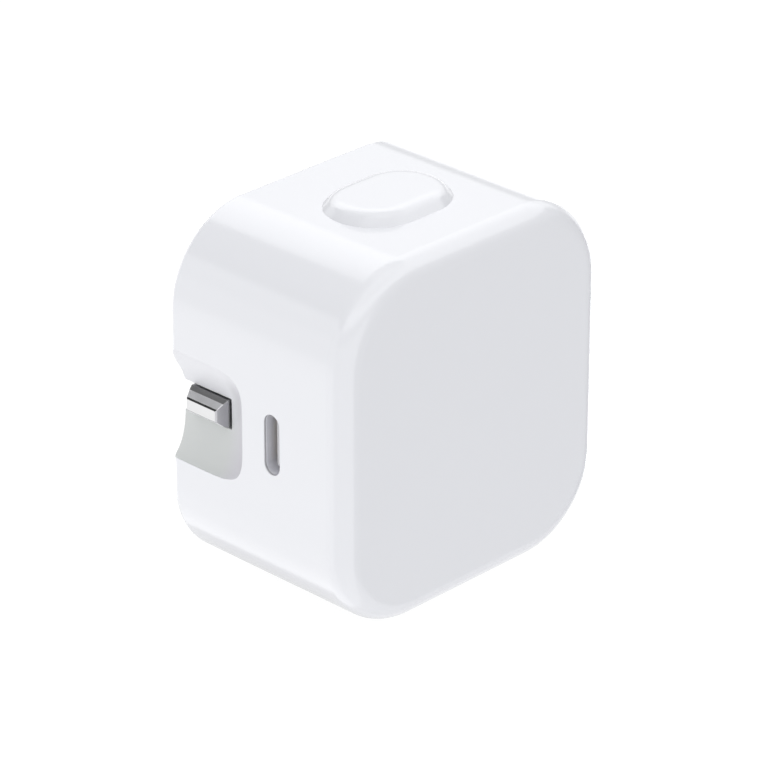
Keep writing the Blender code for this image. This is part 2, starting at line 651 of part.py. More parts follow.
def build_slide():
    """Two racks joined by a bar that passes behind the folded earth pin."""
    pitch = math.pi * GEAR_MODULE
    line_pitch_x = LINE_PIVOT_X + PITCH_RADIUS
    earth_pitch_x = EARTH_PIVOT_X - PITCH_RADIUS
    line_back = line_pitch_x + DEDENDUM + RACK_BACK
    earth_back = earth_pitch_x - DEDENDUM - RACK_BACK
    line_teeth = rack_teeth(line_pitch_x, LINE_PIVOT_Y - 2.5 * pitch, 5, -1)
    earth_teeth = rack_teeth(earth_pitch_x, EARTH_PIVOT_Y - 2.5 * pitch, 4, 1)
    line_x, earth_x = line_teeth[0][0], earth_teeth[0][0]
    line_start, earth_end = line_teeth[0][1] - RACK_EDGE, earth_teeth[-1][1] + RACK_EDGE
    outline = [(line_back, line_start), (line_x, line_start)] + line_teeth
    outline += [(line_x, LINK_Y[0]), (earth_back, LINK_Y[0]), (earth_back, earth_end), (earth_x, earth_end)]
    outline += list(reversed(earth_teeth)) + [(earth_x, LINK_Y[1]), (line_back, LINK_Y[1])]
    slide = add_piece("sync_slide", prism(outline, "z", *RACK_Z), "grey_plastic")
    arm_x = (line_back - RACK_EDGE, BAR_X[1])
    bar_half = RACK_Z[1] - 2 * OVERLAP
    combine(slide, "UNION", [
        prism(outline, "z", *mirrored(*RACK_Z)),
        box(arm_x, BAR_Y, RACK_Z),
        box(arm_x, BAR_Y, mirrored(*RACK_Z)),
        box(BAR_X, BAR_Y, (-bar_half, bar_half)),
    ])
    depth, half_width, half_height = DETENT_NOTCH
    mouth_x = BAR_X[1] + RUNNING_GAP
    combine(slide, "DIFFERENCE", [prism(
        [(mouth_x, y - half_width), (BAR_X[1] - depth, y), (mouth_x, y + half_width)],
        "z", -half_height, half_height) for y in DETENT_Y])


def build_earth_carrier():
    """Cheeks either side of the pin's root, joined behind it and round the shaft."""
    px, py = EARTH_PIVOT_X, EARTH_PIVOT_Y
    outer, inner = px - 7.1, px + 2.4
    foot, shoulder, heel = py - 6.0, py - 2.3, py - 1.6
    round_end = arc((px, py), 3.3, -40, 170, 10)
    outline = [(outer, foot), (inner, foot), (inner, shoulder)] + round_end + [(outer, heel)]
    cheeks = 3.4
    carrier = add_piece(
        "earth_carrier", prism(outline, "z", -cheeks, cheeks), "black_plastic", origin=(px, py, 0))
    half = PIN_THICKNESS / 2 + GAP
    pin_side = EARTH_FOLDED_X + EARTH_PIN_WIDTH / 2 + GAP
    pocket = box((outer - PAST, pin_side), (foot - PAST, py - EARTH_ROOT + GAP), (-half, half))
    tang = box((px - EYE_RADIUS - GAP, pin_side), (py - EYE_RADIUS - PAST, py), (-half, half))
    eye = cylinder((px, py), EYE_RADIUS + GAP, "z", -half, half, 20)
    shaft = bore((px, py), SHAFT_RADIUS + RUNNING_GAP, "z", -cheeks - PAST, cheeks + PAST)
    combine(carrier, "DIFFERENCE", [pocket, tang, eye, shaft])


def build_earth_shaft():
    centre = (EARTH_PIVOT_X, EARTH_PIVOT_Y)
    reach = INNER_RIB_Z[1] + 0.3
    add_piece("earth_shaft", cylinder(centre, SHAFT_RADIUS, "z", -reach, reach), "steel",
              origin=(*centre, 0), smooth_angle=40)
    for name, z in (("earth_pinion_upper", RACK_Z), ("earth_pinion_lower", mirrored(*RACK_Z))):
        pinion = add_piece(name, prism(pinion_outline(centre, math.pi), "z", *z), "grey_plastic",
                           origin=(*centre, 0))
        combine(pinion, "DIFFERENCE", [bore(
            centre, SHAFT_RADIUS + RUNNING_GAP / 2, "z", z[0] - PAST, z[1] + PAST)])


def build_line_carrier(name, side):
    """A block round the pin's root with moulded trunnions and, on the inner one, a pinion."""
    centre = (LINE_PIVOT_X, LINE_PIVOT_Y)
    offset = side * LINE_PIN_OFFSET
    block_z = (7.0, 15.2)

    def at(low, high):
        return (low, high) if side > 0 else mirrored(low, high)

    px, py = centre
    outline = [(px - 3.3, py - 2.6), (px + 2.3, py - 2.6), (px + 2.3, py + 3.0), (px - 3.3, py + 3.0)]
    carrier = add_piece(name, prism(outline, "z", *at(*block_z)), "black_plastic", origin=(*centre, offset))
    combine(carrier, "UNION", [
        cylinder(centre, TRUNNION_RADIUS, "z", *at(RACK_Z[1] - OVERLAP, block_z[0] + OVERLAP)),
        cylinder(centre, TRUNNION_RADIUS, "z", *at(block_z[1] - OVERLAP, TRUNNION_END - GAP)),
        prism(pinion_outline(centre, 0.0), "z", *at(*RACK_Z)),
    ])
    shank = (PIN_THICKNESS - 2 * SLEEVE_WALL, LINE_PIN_WIDTH - 2 * SLEEVE_WALL)
    tang = [size + 2 * GAP for size in TANG_SIZE]
    shank_start, tang_start = (py + level - GAP for level in (TANG_LEVELS[1], TANG_LEVELS[0]))
    combine(carrier, "DIFFERENCE", [
        loft([pin_ring(y, LINE_FOLDED_X, *shank, offset) for y in (shank_start, py + 5)]),
        loft([pin_ring(y, px, *tang, offset) for y in (tang_start, shank_start + 2 * GAP)]),
    ])


# Springs and contacts

def strip(points, thickness):
    """The outline of a bent strip, from its centre line's points."""
    left, right = [], []
    for i, point in enumerate(points):
        before = Vector(points[max(i - 1, 0)])
        after = Vector(points[min(i + 1, len(points) - 1)])
        along = (after - before).normalized()
        across = Vector((-along.y, along.x)) * thickness / 2
        left.append(tuple(Vector(point) + across))
        right.append(tuple(Vector(point) - across))
    return left + list(reversed(right))


def build_detent_spring():
    """A leaf on the cradle floor, drawn lifted clear of the slide's two notches."""
    y = DETENT_Y[0]
    flat, bend, crest = 11.75, 11.6, 11.42
    points = [(flat, y - 7.0), (flat, y - 5.0), (bend, y - 1.4), (crest, y), (bend, y + 1.4), (flat, y + 5.0)]
    thickness, half_width = 0.2, 1.6
    add_piece("detent_spring", prism(strip(points, thickness), "z", -half_width, half_width), "spring_bronze")


def build_contact(name, side):
    """A leaf that the pin's tang wipes when the plug is unfolded, standing on the board."""
    z = side * LINE_PIN_OFFSET
    foot_y, end_y = CONTACT_Y
    bend, wipe = 8.4, 7.6
    points = [(BOARD_X[0] - GAP, foot_y), (bend, foot_y), (7.75, foot_y + 0.6), (wipe, foot_y + 3.0),
              (wipe, end_y - 1.0), (8.1, end_y)]
    thickness, half_width = 0.35, 1.5
    add_piece(name, prism(strip(points, thickness), "z", z - half_width, z + half_width), "spring_bronze")


# Circuit board and what it carries

def build_board():
    inset = WALL + BOARD_MARGIN
    add_piece("main_board", loft([body_ring(x, inset) for x in BOARD_X]), "board_green")


def build_socket():
    mouth = SOCKET_FACE + MOUTH_RECESS
    back = mouth + SHELL_LENGTH
    centre = (SOCKET_X, 0)
    origin = (SOCKET_X, mouth, 0)
    shell = add_piece("usb_shell", prism(slot_outline(*SHELL_OUTER, centre), "y", mouth, back), "steel",
                      origin=origin, smooth_angle=40)
    combine(shell, "DIFFERENCE", [prism(slot_outline(*SHELL_INNER, centre), "y", mouth - PAST, back + PAST)])

    plug_back = back - 1.6
    plug = [size - 2 * RUNNING_GAP for size in SHELL_INNER]
    tongue = add_piece("usb_tongue", prism(slot_outline(*plug, centre), "y", plug_back, back - RUNNING_GAP),
                       "socket_plastic", origin=origin)
    half_x, half_z = TONGUE_SIZE[0] / 2, TONGUE_SIZE[1] / 2
    combine(tongue, "UNION", [box(
        (SOCKET_X - half_x, SOCKET_X + half_x), (mouth + TONGUE_RECESS, plug_back + 0.5), (-half_z, half_z))])

    for name, face in (("usb_contacts_front", 1), ("usb_contacts_rear", -1)):
        x = SOCKET_X + face * (half_x + COMB_LIFT)
        outline = contact_comb(mouth + TONGUE_RECESS + 0.4, plug_back - 0.7)
        add_piece(name, prism(outline, "x", x - COMB_THICKNESS / 2, x + COMB_THICKNESS / 2), "gold_plate",
                  origin=origin)


def contact_comb(tip, root):
    """A row of contact strips along the tongue's face, joined at their roots."""
    outline = []
    for index in range(COMB_STRIPS):
        z = (index - (COMB_STRIPS - 1) / 2) * COMB_PITCH
        low, high = z - COMB_STRIP_HALF, z + COMB_STRIP_HALF
        outline += [(root, low), (tip, low), (tip, high), (root, high)]
    heel, half = root + 0.4, 2.9
    return outline + [(root, half), (heel, half), (heel, -half), (root, -half)]


def build_core(name, side):
    """An E-shaped half core; the two halves meet at the middle plane."""
    y = TRANSFORMER_Y
    window_end = CORE_HALF_HEIGHT - CORE_BACK
    inner = CORE_OUTER - CORE_LEG
    outline = [(-CORE_OUTER, CORE_GAP), (-inner, CORE_GAP), (-inner, window_end), (-LEG_HALF, window_end),
               (-LEG_HALF, CORE_GAP), (LEG_HALF, CORE_GAP), (LEG_HALF, window_end), (inner, window_end),
               (inner, CORE_GAP), (CORE_OUTER, CORE_GAP), (CORE_OUTER, CORE_HALF_HEIGHT),
               (-CORE_OUTER, CORE_HALF_HEIGHT)]
    outline = [(y + along, side * height) for along, height in outline]
    add_piece(name, prism(outline, "x", *CORE_X), "ferrite", origin=(COMPONENT_X, y, 0))


def spool(half_x, half_y, half_z):
    middle = sum(CORE_X) / 2
    y = TRANSFORMER_Y
    return box((middle - half_x, middle + half_x), (y - half_y, y + half_y), (-half_z, half_z))


def build_bobbin_and_winding():
    core_half_x = (CORE_X[1] - CORE_X[0]) / 2
    tube = (core_half_x + GAP + BOBBIN_WALL, LEG_HALF + GAP + BOBBIN_WALL)
    flange_z = CORE_HALF_HEIGHT - CORE_BACK - GAP
    middle, y = sum(CORE_X) / 2, TRANSFORMER_Y
    bobbin = add_piece("transformer_bobbin", spool(*tube, flange_z), "black_plastic", origin=(middle, y, 0))
    flange_y = CORE_OUTER - CORE_LEG - GAP
    rims = []
    for side in (1, -1):
        z = sorted((side * flange_z, side * (flange_z - FLANGE_THICKNESS)))
        rims.append(box((middle - FLANGE_HALF, middle + FLANGE_HALF), (y - flange_y, y + flange_y), z))
    combine(bobbin, "UNION", rims)
    combine(bobbin, "DIFFERENCE", [spool(core_half_x + GAP, LEG_HALF + GAP, CORE_HALF_HEIGHT)])

    coil_z = flange_z - FLANGE_THICKNESS - GAP
    outline = rounded_rectangle(2 * WINDING_HALF, 2 * (flange_y - RUNNING_GAP), 1.6, 4, (middle, y))
    winding = add_piece("transformer_winding", prism(outline, "z", -coil_z, coil_z), "winding_tape",
                        origin=(middle, y, 0), smooth_angle=40)
    combine(winding, "DIFFERENCE", [spool(tube[0] + GAP, tube[1] + GAP, CORE_HALF_HEIGHT)])


def build_capacitor(name, axis, centre, radius, low, high, finish):
    """A can with rolled ends and a groove near its sealed end."""
    rim, groove_depth = 0.4, 0.35
    groove = low + 1.6
    profile = [(radius - rim, low), (radius, low + rim)]
    profile += [(radius, groove), (radius - groove_depth, groove + 0.3), (radius, groove + 0.6)]
    profile += [(radius, high - rim), (radius - rim, high)]
    add_piece(name, turned(profile, axis, centre), finish, smooth_angle=50)


def ring_sector(centre, outer, inner, start, end, steps):
    """Outline of a stretch of a flat ring, between two angles in degrees."""
    return arc(centre, outer, start, end, steps) + list(reversed(arc(centre, inner, start, end, steps)))


def build_choke():
    outer, inner = CHOKE_RADII
    low, high = CHOKE_X
    ring = cylinder(CHOKE_PLACE, outer, "x", low, high, 24)
    core = add_piece("choke_core", ring, "ferrite", smooth_angle=40)
    combine(core, "DIFFERENCE", [cylinder(CHOKE_PLACE, inner, "x", low - PAST, high + PAST, 24)])
    past_angle = 20
    for name, (start, end) in CHOKE_ARCS.items():
        radii = (outer + CHOKE_WIRE, inner - CHOKE_WIRE + RUNNING_GAP)
        outline = ring_sector(CHOKE_PLACE, *radii, start, end, 8)
        winding = add_piece(
            name, prism(outline, "x", low - CHOKE_WIRE, high + CHOKE_WIRE), "copper_wire", smooth_angle=40)
        hole = ring_sector(CHOKE_PLACE, outer + GAP, inner - GAP, start - past_angle, end + past_angle, 10)
        combine(winding, "DIFFERENCE", [prism(hole, "x", low - GAP, high + GAP)])


def add_chip(name, place_yz, size, height, up=-1):
    """A flat package with bevelled faces. up is +1 on the board's component side."""
    foot = COMPONENT_X if up > 0 else UNDERSIDE_X
    y, z = place_yz
    rings = []
    for level, inset in ((0.15, 0.15), (height / 2, 0.0), (height, 0.2)):
        half_y, half_z = size[0] / 2 - inset, size[1] / 2 - inset
        rings.append([(foot + up * level, y + side_y * half_y, z + side_z * half_z)
                      for side_y, side_z in ((1, 1), (-1, 1), (-1, -1), (1, -1))])
    return add_piece(name, loft(rings), "chip_black", origin=(foot, y, z))


def add_legs(chip, place_yz, size, height):
    """Legs that pass through the package from side to side and stand on the board's underside."""
    y, z = place_yz
    count = max(2, int(size[0] / LEG_PITCH))
    leg_half, reach = LEG_WIDTH / 2, size[1] / 2 + LEG_REACH
    x = (UNDERSIDE_X - height * 0.55, UNDERSIDE_X)
    legs = []
    for index in range(count):
        leg_y = y + (index - (count - 1) / 2) * LEG_PITCH
        legs.append(box(x, (leg_y - leg_half, leg_y + leg_half), (z - reach, z + reach)))
    combine(chip, "UNION", legs)


def build_components():
    for name, side in (("transformer_core_upper", 1), ("transformer_core_lower", -1)):
        build_core(name, side)
    build_bobbin_and_winding()
    for name, z in (("bulk_capacitor_upper", BULK_Z), ("bulk_capacitor_lower", mirrored(*BULK_Z))):
        build_capacitor(name, "z", BULK_PLACE, BULK_RADIUS, *z, "capacitor_sleeve")
    build_capacitor("output_capacitor", "x", OUTPUT_PLACE, OUTPUT_RADIUS, COMPONENT_X,
                    COMPONENT_X + OUTPUT_HEIGHT, "aluminium")
    add_piece("y_capacitor", turned(Y_CAPACITOR_PROFILE, "z", Y_CAPACITOR_PLACE), "capacitor_blue",
              smooth_angle=60)
    outline = rounded_rectangle(*FUSE_SIZE, 0.6, 2, FUSE_PLACE)
    fuse = prism(outline, "x", COMPONENT_X, COMPONENT_X + FUSE_HEIGHT)
    add_piece("fuse", fuse, "chip_black", smooth_angle=40)
    build_choke()
    for name, package in LEGGED_CHIPS.items():
        add_legs(add_chip(name, *package), *package)
    add_chip("port_controller", *PORT_CONTROLLER)
    add_chip("port_switch", *PORT_SWITCH, up=1)


def build_heat_parts():
    front = BODY_DEPTH - WALL - GAP
    spreader_back = front - SPREADER_THICKNESS
    add_piece("heat_spreader", prism(rounded_rectangle(*SPREADER_SIZE, 3, 3), "x", spreader_back, front),
              "aluminium")
    add_piece("thermal_pad", prism(
        rounded_rectangle(*PAD_SIZE, 0.5, 1, (TRANSFORMER_Y, 0)), "x", PAD_START, spreader_back - GAP),
        "thermal_grey")
    add_piece("insulation_sheet", box((COMPONENT_X, SHEET_END_X), SHEET_Y, (-SHEET_HALF, SHEET_HALF)),
              "insulation_film")


# Assembly

clear_scene()
FRAME = add_frame()
build_housing()
build_plate()
build_cradle()
build_screws()
build_earth_pin()
build_earth_carrier()
build_earth_shaft()
for line_name, line_side in (("neutral", 1), ("live", -1)):
    build_line_pin(line_name + "_pin", line_side)
    build_sleeve(line_name + "_sleeve", line_side)
    build_line_carrier(line_name + "_carrier", line_side)
    build_contact(line_name + "_contact", line_side)
build_slide()
build_detent_spring()
build_board()
build_socket()
build_components()
build_heat_parts()
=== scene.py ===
"""Looks of a folding-plug USB-C wall adapter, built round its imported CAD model.

Shapes are drawn in millimetres in the adapter's drawing frame: x is the depth behind the plug face, y runs
from the socket face (-y) to the far end (+y), and z is the height above the body's middle plane.
"""

import json
import math

import bmesh
import bpy
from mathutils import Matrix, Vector

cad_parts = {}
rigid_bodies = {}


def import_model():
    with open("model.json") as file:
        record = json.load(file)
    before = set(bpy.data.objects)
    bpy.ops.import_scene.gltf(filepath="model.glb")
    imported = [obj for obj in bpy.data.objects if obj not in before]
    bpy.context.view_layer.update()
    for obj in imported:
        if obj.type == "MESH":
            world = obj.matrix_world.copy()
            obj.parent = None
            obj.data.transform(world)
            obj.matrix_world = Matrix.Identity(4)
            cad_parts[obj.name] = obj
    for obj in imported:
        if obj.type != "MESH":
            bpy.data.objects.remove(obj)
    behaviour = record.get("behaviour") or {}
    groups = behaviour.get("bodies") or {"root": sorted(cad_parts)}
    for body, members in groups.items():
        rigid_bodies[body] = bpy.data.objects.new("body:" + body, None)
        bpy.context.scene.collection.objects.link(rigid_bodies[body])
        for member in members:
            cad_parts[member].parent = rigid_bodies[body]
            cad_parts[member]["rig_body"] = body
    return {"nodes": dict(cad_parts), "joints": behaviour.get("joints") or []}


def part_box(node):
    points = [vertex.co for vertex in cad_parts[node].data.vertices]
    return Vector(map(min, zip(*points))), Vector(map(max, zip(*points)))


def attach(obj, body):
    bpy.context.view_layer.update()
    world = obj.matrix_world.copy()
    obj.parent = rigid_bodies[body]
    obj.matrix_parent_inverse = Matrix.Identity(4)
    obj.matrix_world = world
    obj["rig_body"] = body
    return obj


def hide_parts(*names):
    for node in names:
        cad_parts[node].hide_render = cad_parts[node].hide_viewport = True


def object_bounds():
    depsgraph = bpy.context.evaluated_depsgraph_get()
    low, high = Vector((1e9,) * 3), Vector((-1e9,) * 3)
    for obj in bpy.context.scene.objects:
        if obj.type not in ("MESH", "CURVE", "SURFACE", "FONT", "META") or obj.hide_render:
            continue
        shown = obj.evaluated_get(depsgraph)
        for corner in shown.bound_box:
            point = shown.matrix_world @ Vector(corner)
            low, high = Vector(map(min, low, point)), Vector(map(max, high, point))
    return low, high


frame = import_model()
cad_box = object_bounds()

MM = 0.001
JOINTS = {joint["name"]: joint for joint in frame["joints"]}

# Driving dimensions, taken from the frame where it has them

GRIP_HEIGHT = 1.5
housing_low, housing_high = (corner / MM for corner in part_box("housing"))
ORIGIN = Vector((housing_low.x, 0, (housing_low.z + housing_high.z) / 2))
BODY_DEPTH = housing_high.x - housing_low.x
BODY_LENGTH = housing_high.y - housing_low.y
BODY_HEIGHT = housing_high.z - housing_low.z - 2 * GRIP_HEIGHT
FACE = -BODY_LENGTH / 2                # y of the socket face
PAST = 1.0                             # how far cutters reach past what they cut

CORNER_RADIUS = 12.7
CORNER_STEPS = 30                      # in each corner of the body's and the plate's outlines
FRONT_FILLET = 3.0
REAR_FILLET = 0.9
WALL = 2.2
RIM_WALL = 1.5                         # the thinner wall round the plug face plate
GAP = 0.3                              # between the parts of the casing

# Grips: oval mounds with straight steep flanks and a soft crown
GRIP_LENGTH = 18.0
GRIP_WIDTH = 13.0
GRIP_FLANK = (0.6, 0.72)               # where the straight flank ends: inset, height
GRIP_CROWN = 4.0                       # inset where the top is reached
GRIP_FOOT = 0.1                        # size of the little chamfer round the foot
GRIP_ROOT = 0.5                        # how deep it is sunk into the body

# Finger notch
NOTCH_CENTRE_X = 3.0
NOTCH_REACH = 13.1                     # its end's distance from the plug face
NOTCH_BELOW = 8.1                      # its edges' distances from the middle plane
NOTCH_ABOVE = 7.4
NOTCH_SQUARENESS = 5.0                 # power of its outline: 2 is an ellipse
NOTCH_DEPTH = 2.55
NOTCH_ROLL = (1.6, 8.2)                # heights between which its floor rises to the face, above the middle
NOTCH_BELLY = (3, 0.667)               # powers of the fuller curve of its floor below the middle
NOTCH_LIP = 0.1                        # how far that curve would run on past the lower edge
NOTCH_END_FILLET = 2.6                 # width of the curve that rises to the notch's end
NOTCH_BACKING = 4.4                    # back of the wall behind the notch, from the socket face
NOTCH_WALL = 1.2                       # that wall's reach past the notch's end

# Plug
PIN_THICKNESS = 3.975
EARTH_PIN_WIDTH = 7.95
LINE_PIN_WIDTH = 6.35
LINE_FOLDED_X = 3.1                    # folded line pins' centre, behind the plug face
PIN_BEVEL = 0.2                        # rounding of the hidden stretches' edges
VISIBLE_BEVEL = 0.12                   # and of the visible ones
TIP_LENGTH = 1.6
TIP_INSET_THICK = 1.04                 # how far the end face stands in from the pin's broad sides
TIP_INSET_WIDE = 0.55                  # and from its narrow ones
EARTH_TIP_WIDTH = 6.7                  # behind its bevelled end, from where the earth pin widens
EARTH_TAPER = 11.0                     # length of that widening
GATE_GAP = 0.2                         # between the earth pin and its slot through the notch
GATE_STEP = (3.0, 0.2)                 # depth where that slot's taper steepens, and its extra width there
TIP_BREAK = 0.38                       # share of the tip's bevel that its outer facet takes
TIP_EDGE = 0.2                         # chamfer round the end face
SHANK_STEP = 1.6                       # how much thinner the line pins are under their sleeves
SLEEVE_END = 9.1                       # sleeve length outside the plug face
SLEEVE_WALL = 0.5
SLEEVE_CORNER = 0.5
SLEEVE_END_CURVE = ((0.25, 0), (0.08, 0.06), (0, 0.2))     # distance from its end, inset
SHOULDER_GAP = 0.2                     # between a sleeve's end and the wide stretch of its pin
TANG_SIZE = (2.0, 3.0)                 # x, z of the line pins' hidden ends
TANG_END = 1.8                         # where they start, past the pivot
EYE_RADIUS = 2.1                       # round the earth pin's axle
EYE_BORE = 1.1
EYE_CLEARANCE = 0.2                    # how much lower the eye is than the pin, on each side
EYE_ROOT = 2.2                         # where the pin's straight stretch ends, before its pivot

# Plug face plate: windows with their (y, z) limits
LINE_WINDOW_Y = (-16.2, 10.3)
LINE_WINDOW_Z = (6.7, 15.5)
EARTH_WINDOW_END = 14.83
EARTH_WINDOW_HALF = 3.7
BACKING_HALF = 9.6                     # half the height of the wall behind the notch
WINDOW_CORNER = 0.35
PLATE_BEVEL = 0.16
RELIEF_REACH = 2.5                     # hidden reliefs for gears and trunnions, round the line pins' pivots
RELIEF_Z = (3.6, 17.0)

# USB-C socket
SOCKET_OPENING = (2.7, 8.4)
SOCKET_LIP = 0.35                      # the housing's thickness in front of the shell
SOCKET_DEPTH = 4.0
SOCKET_FLARE = 0.12
SHELL_FLARE = 0.07
SHELL_WALL = (0.35, 0.3)               # x, z
TONGUE_SIZE = (0.7, 6.7)
TONGUE_RECESS = 0.82                   # tongue's tip behind the shell's mouth
TONGUE_ROUNDING = 0.12
TONGUE_PLUG = 1.6                      # length of the block that closes the shell's back

CHAMFER_BELLY = 0.3                    # where a rounded chamfer bulges, as a share of its size


def box_mm(cad_node):
    """Lowest and highest corner of a CAD node in the drawing frame."""
    return [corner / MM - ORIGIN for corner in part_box(cad_node)]


def hinge(joint):
    """A hinge's place in the drawing frame."""
    return Vector(JOINTS[joint]["pos_m"]) / MM - ORIGIN


# Outlines, as lists of two coordinates

def arc(centre, radius, start, end, steps):
    """Points on a circle between two angles in degrees, both ends included."""
    angles = [math.radians(start + (end - start) * i / steps) for i in range(steps + 1)]
    return [(centre[0] + radius * math.cos(a), centre[1] + radius * math.sin(a)) for a in angles]


def rounded_rectangle(width, height, radius, steps, centre=(0, 0)):
    points = []
    for side_x, side_y, start in ((1, 1, 0), (-1, 1, 90), (-1, -1, 180), (1, -1, 270)):
        corner = (centre[0] + side_x * (width / 2 - radius), centre[1] + side_y * (height / 2 - radius))
        points += arc(corner, radius, start, start + 90, steps)
    return points


def slot_outline(width, height, centre, steps=14):
    """A pill whose round ends are on the second coordinate."""
    half = height / 2 - width / 2
    top = arc((centre[0], centre[1] + half), width / 2, 0, 180, steps)
    bottom = arc((centre[0], centre[1] - half), width / 2, 180, 360, steps)
    return top + bottom


def smoothstep(value, low, high):
    share = min(1.0, max(0.0, (value - low) / (high - low)))
    return share * share * (3 - 2 * share)


# Solids, as bmeshes in millimetres

def place(point, axis, level):
    first, second = point
    return {"x": (level, first, second), "y": (first, level, second), "z": (first, second, level)}[axis]


def loft(rings):
    """A closed solid through rings of equally many points, with flat ends."""
    shape = bmesh.new()
    rows = [[shape.verts.new(point) for point in ring] for ring in rings]
    for low, high in zip(rows, rows[1:]):
        for i in range(len(low)):
            j = (i + 1) % len(low)
            shape.faces.new((low[i], low[j], high[j], high[i]))
    shape.faces.new(list(reversed(rows[0])))
    shape.faces.new(rows[-1])
    return shape


def prism(outline, axis, low, high):
    return loft([[place(point, axis, level) for point in outline] for level in (low, high)])


def box(x, y, z):
    outline = [(x[0], y[0]), (x[1], y[0]), (x[1], y[1]), (x[0], y[1])]
    return prism(outline, "z", z[0], z[1])


def cylinder(centre, radius, axis, low, high, steps=48):
    return prism(arc(centre, radius, 0, 360 * (1 - 1 / steps), steps - 1), axis, low, high)


def mesh_object(name, shape):
    """Makes shape, a bmesh in drawing millimetres, into an object in the frame's metres."""
    bmesh.ops.recalc_face_normals(shape, faces=shape.faces)
    bmesh.ops.translate(shape, verts=shape.verts, vec=ORIGIN)
    bmesh.ops.scale(shape, verts=shape.verts, vec=(MM, MM, MM))
    mesh = bpy.data.meshes.new(name)
    shape.to_mesh(mesh)
    shape.free()
    made = bpy.data.objects.new(name, mesh)
    bpy.context.collection.objects.link(made)
    return made


def combine(piece, operation, shapes):
    """Applies an exact Boolean of piece with each shape, a bmesh in drawing millimetres."""
    tools = [mesh_object("tool", shape) for shape in shapes]
    for tool in tools:
        modifier = piece.modifiers.new(operation, "BOOLEAN")
        modifier.operation = operation
        modifier.solver = "EXACT"
        modifier.object = tool
    bpy.context.view_layer.update()
    graph = bpy.context.evaluated_depsgraph_get()
    result = bpy.data.meshes.new_from_object(piece.evaluated_get(graph))
    piece.modifiers.clear()
    piece.data = result
    for tool in tools:
        bpy.data.objects.remove(tool)


def finish_piece(piece, cad_node, slot, sharp_angle=32, finish=None):
    """Shades a piece, gives it its finish and lets it stand for its CAD node on that node's body."""
    piece.data.shade_smooth()
    piece.data.set_sharp_from_angle(angle=math.radians(sharp_angle))
    weights = piece.modifiers.new("face weighted normals", "WEIGHTED_NORMAL")
    weights.keep_sharp = True
    piece.data.materials.clear()
    piece.data.materials.append(material(finish or slot))
    for face in piece.data.polygons:
        face.material_index = 0
    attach(piece, frame["nodes"][cad_node]["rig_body"])
    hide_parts(cad_node)


# Housing

def body_ring(x, inset, steps):
    outline = rounded_rectangle(
        BODY_LENGTH - 2 * inset, BODY_HEIGHT - 2 * inset, CORNER_RADIUS - inset, steps)
    return [place(point, "x", x) for point in outline]


def filleted_body(front, front_fillet, inset, steps, fillet_steps, back_rings):
    """The rounded body from the given rings at its back to its filleted front face."""
    rings = list(back_rings)
    for i in range(fillet_steps + 1):
        angle = math.pi / 2 * i / fillet_steps
        rings.append(body_ring(front - front_fillet * (1 - math.sin(angle)),
                               inset + front_fillet * (1 - math.cos(angle)), steps))
    return loft(rings)


def outer_body():
    fillet_steps, rear_steps = 14, 6
    back = []
    for i in range(rear_steps + 1):
        angle = math.pi / 2 * (1 - i / rear_steps)
        back.append(body_ring(
            REAR_FILLET * (1 - math.sin(angle)), REAR_FILLET * (1 - math.cos(angle)), CORNER_STEPS))
    return filleted_body(BODY_DEPTH, FRONT_FILLET, 0, CORNER_STEPS, fillet_steps, back)


def inner_body():
    """The hollow of the housing, wider at the back, where the plate sits."""
    steps, fillet_steps = 12, 5
    ledge = box_mm("plug_face_plate")[1].x + GAP
    back = [body_ring(x, inset, steps) for x, inset in ((-PAST, RIM_WALL), (ledge, RIM_WALL), (ledge, WALL))]
    return filleted_body(BODY_DEPTH - WALL, FRONT_FILLET - WALL, WALL, steps, fillet_steps, back)


def grip(side):
    """A low oval mound that stands on the body's z face."""
    steps, around, crowding = 12, 32, 1.5
    inset, height = GRIP_FLANK
    sunk = 0.02                        # the chamfer starts a little below the face
    levels = [(-GRIP_FOOT, -GRIP_ROOT), (-GRIP_FOOT, -sunk), (0.0, GRIP_FOOT), (inset, height)]
    width, rise = GRIP_CROWN - inset, GRIP_HEIGHT - height
    power = height / inset * width / rise
    for i in range(1, steps + 1):
        share = (i / steps) ** crowding
        levels.append((inset + width * share, height + rise * (1 - (1 - share) ** power)))
    rings = []
    for inset, height in levels:
        outline = slot_outline(GRIP_WIDTH - 2 * inset, GRIP_LENGTH - 2 * inset, (BODY_DEPTH / 2, 0), around)
        rings.append([(x, y, side * (BODY_HEIGHT / 2 + height)) for x, y in outline])
    return loft(rings)


def notch_floor(z):
    """Depth of the notch at a height: a soft roll-off above, a fuller curve and a crisp lip below."""
    if z > 0:
        return NOTCH_DEPTH * (1 - smoothstep(z, *NOTCH_ROLL))
    share = min(1.0, -z / (NOTCH_BELOW + NOTCH_LIP))
    return NOTCH_DEPTH * (1 - share ** NOTCH_BELLY[0]) ** NOTCH_BELLY[1]


def notch_point(share, angle):
    """A point of the notch's surface: share 0 is its centre, 1 its outline."""
    cosine, sine = math.cos(angle), math.sin(angle)
    half_x = NOTCH_REACH - NOTCH_CENTRE_X
    half_z = NOTCH_ABOVE if sine > 0 else NOTCH_BELOW
    x = NOTCH_CENTRE_X + share * half_x * math.copysign(abs(cosine) ** (2 / NOTCH_SQUARENESS), cosine)
    z = share * half_z * math.copysign(abs(sine) ** (2 / NOTCH_SQUARENESS), sine)
    edge = (1 - min(1.0, abs(z) / half_z) ** NOTCH_SQUARENESS) ** (1 / NOTCH_SQUARENESS)
    rise = (x - (NOTCH_CENTRE_X + half_x * edge - NOTCH_END_FILLET)) / NOTCH_END_FILLET
    rise = min(1.0, max(0.0, rise))
    return x, FACE + notch_floor(z) * math.sqrt(1 - rise * rise), z


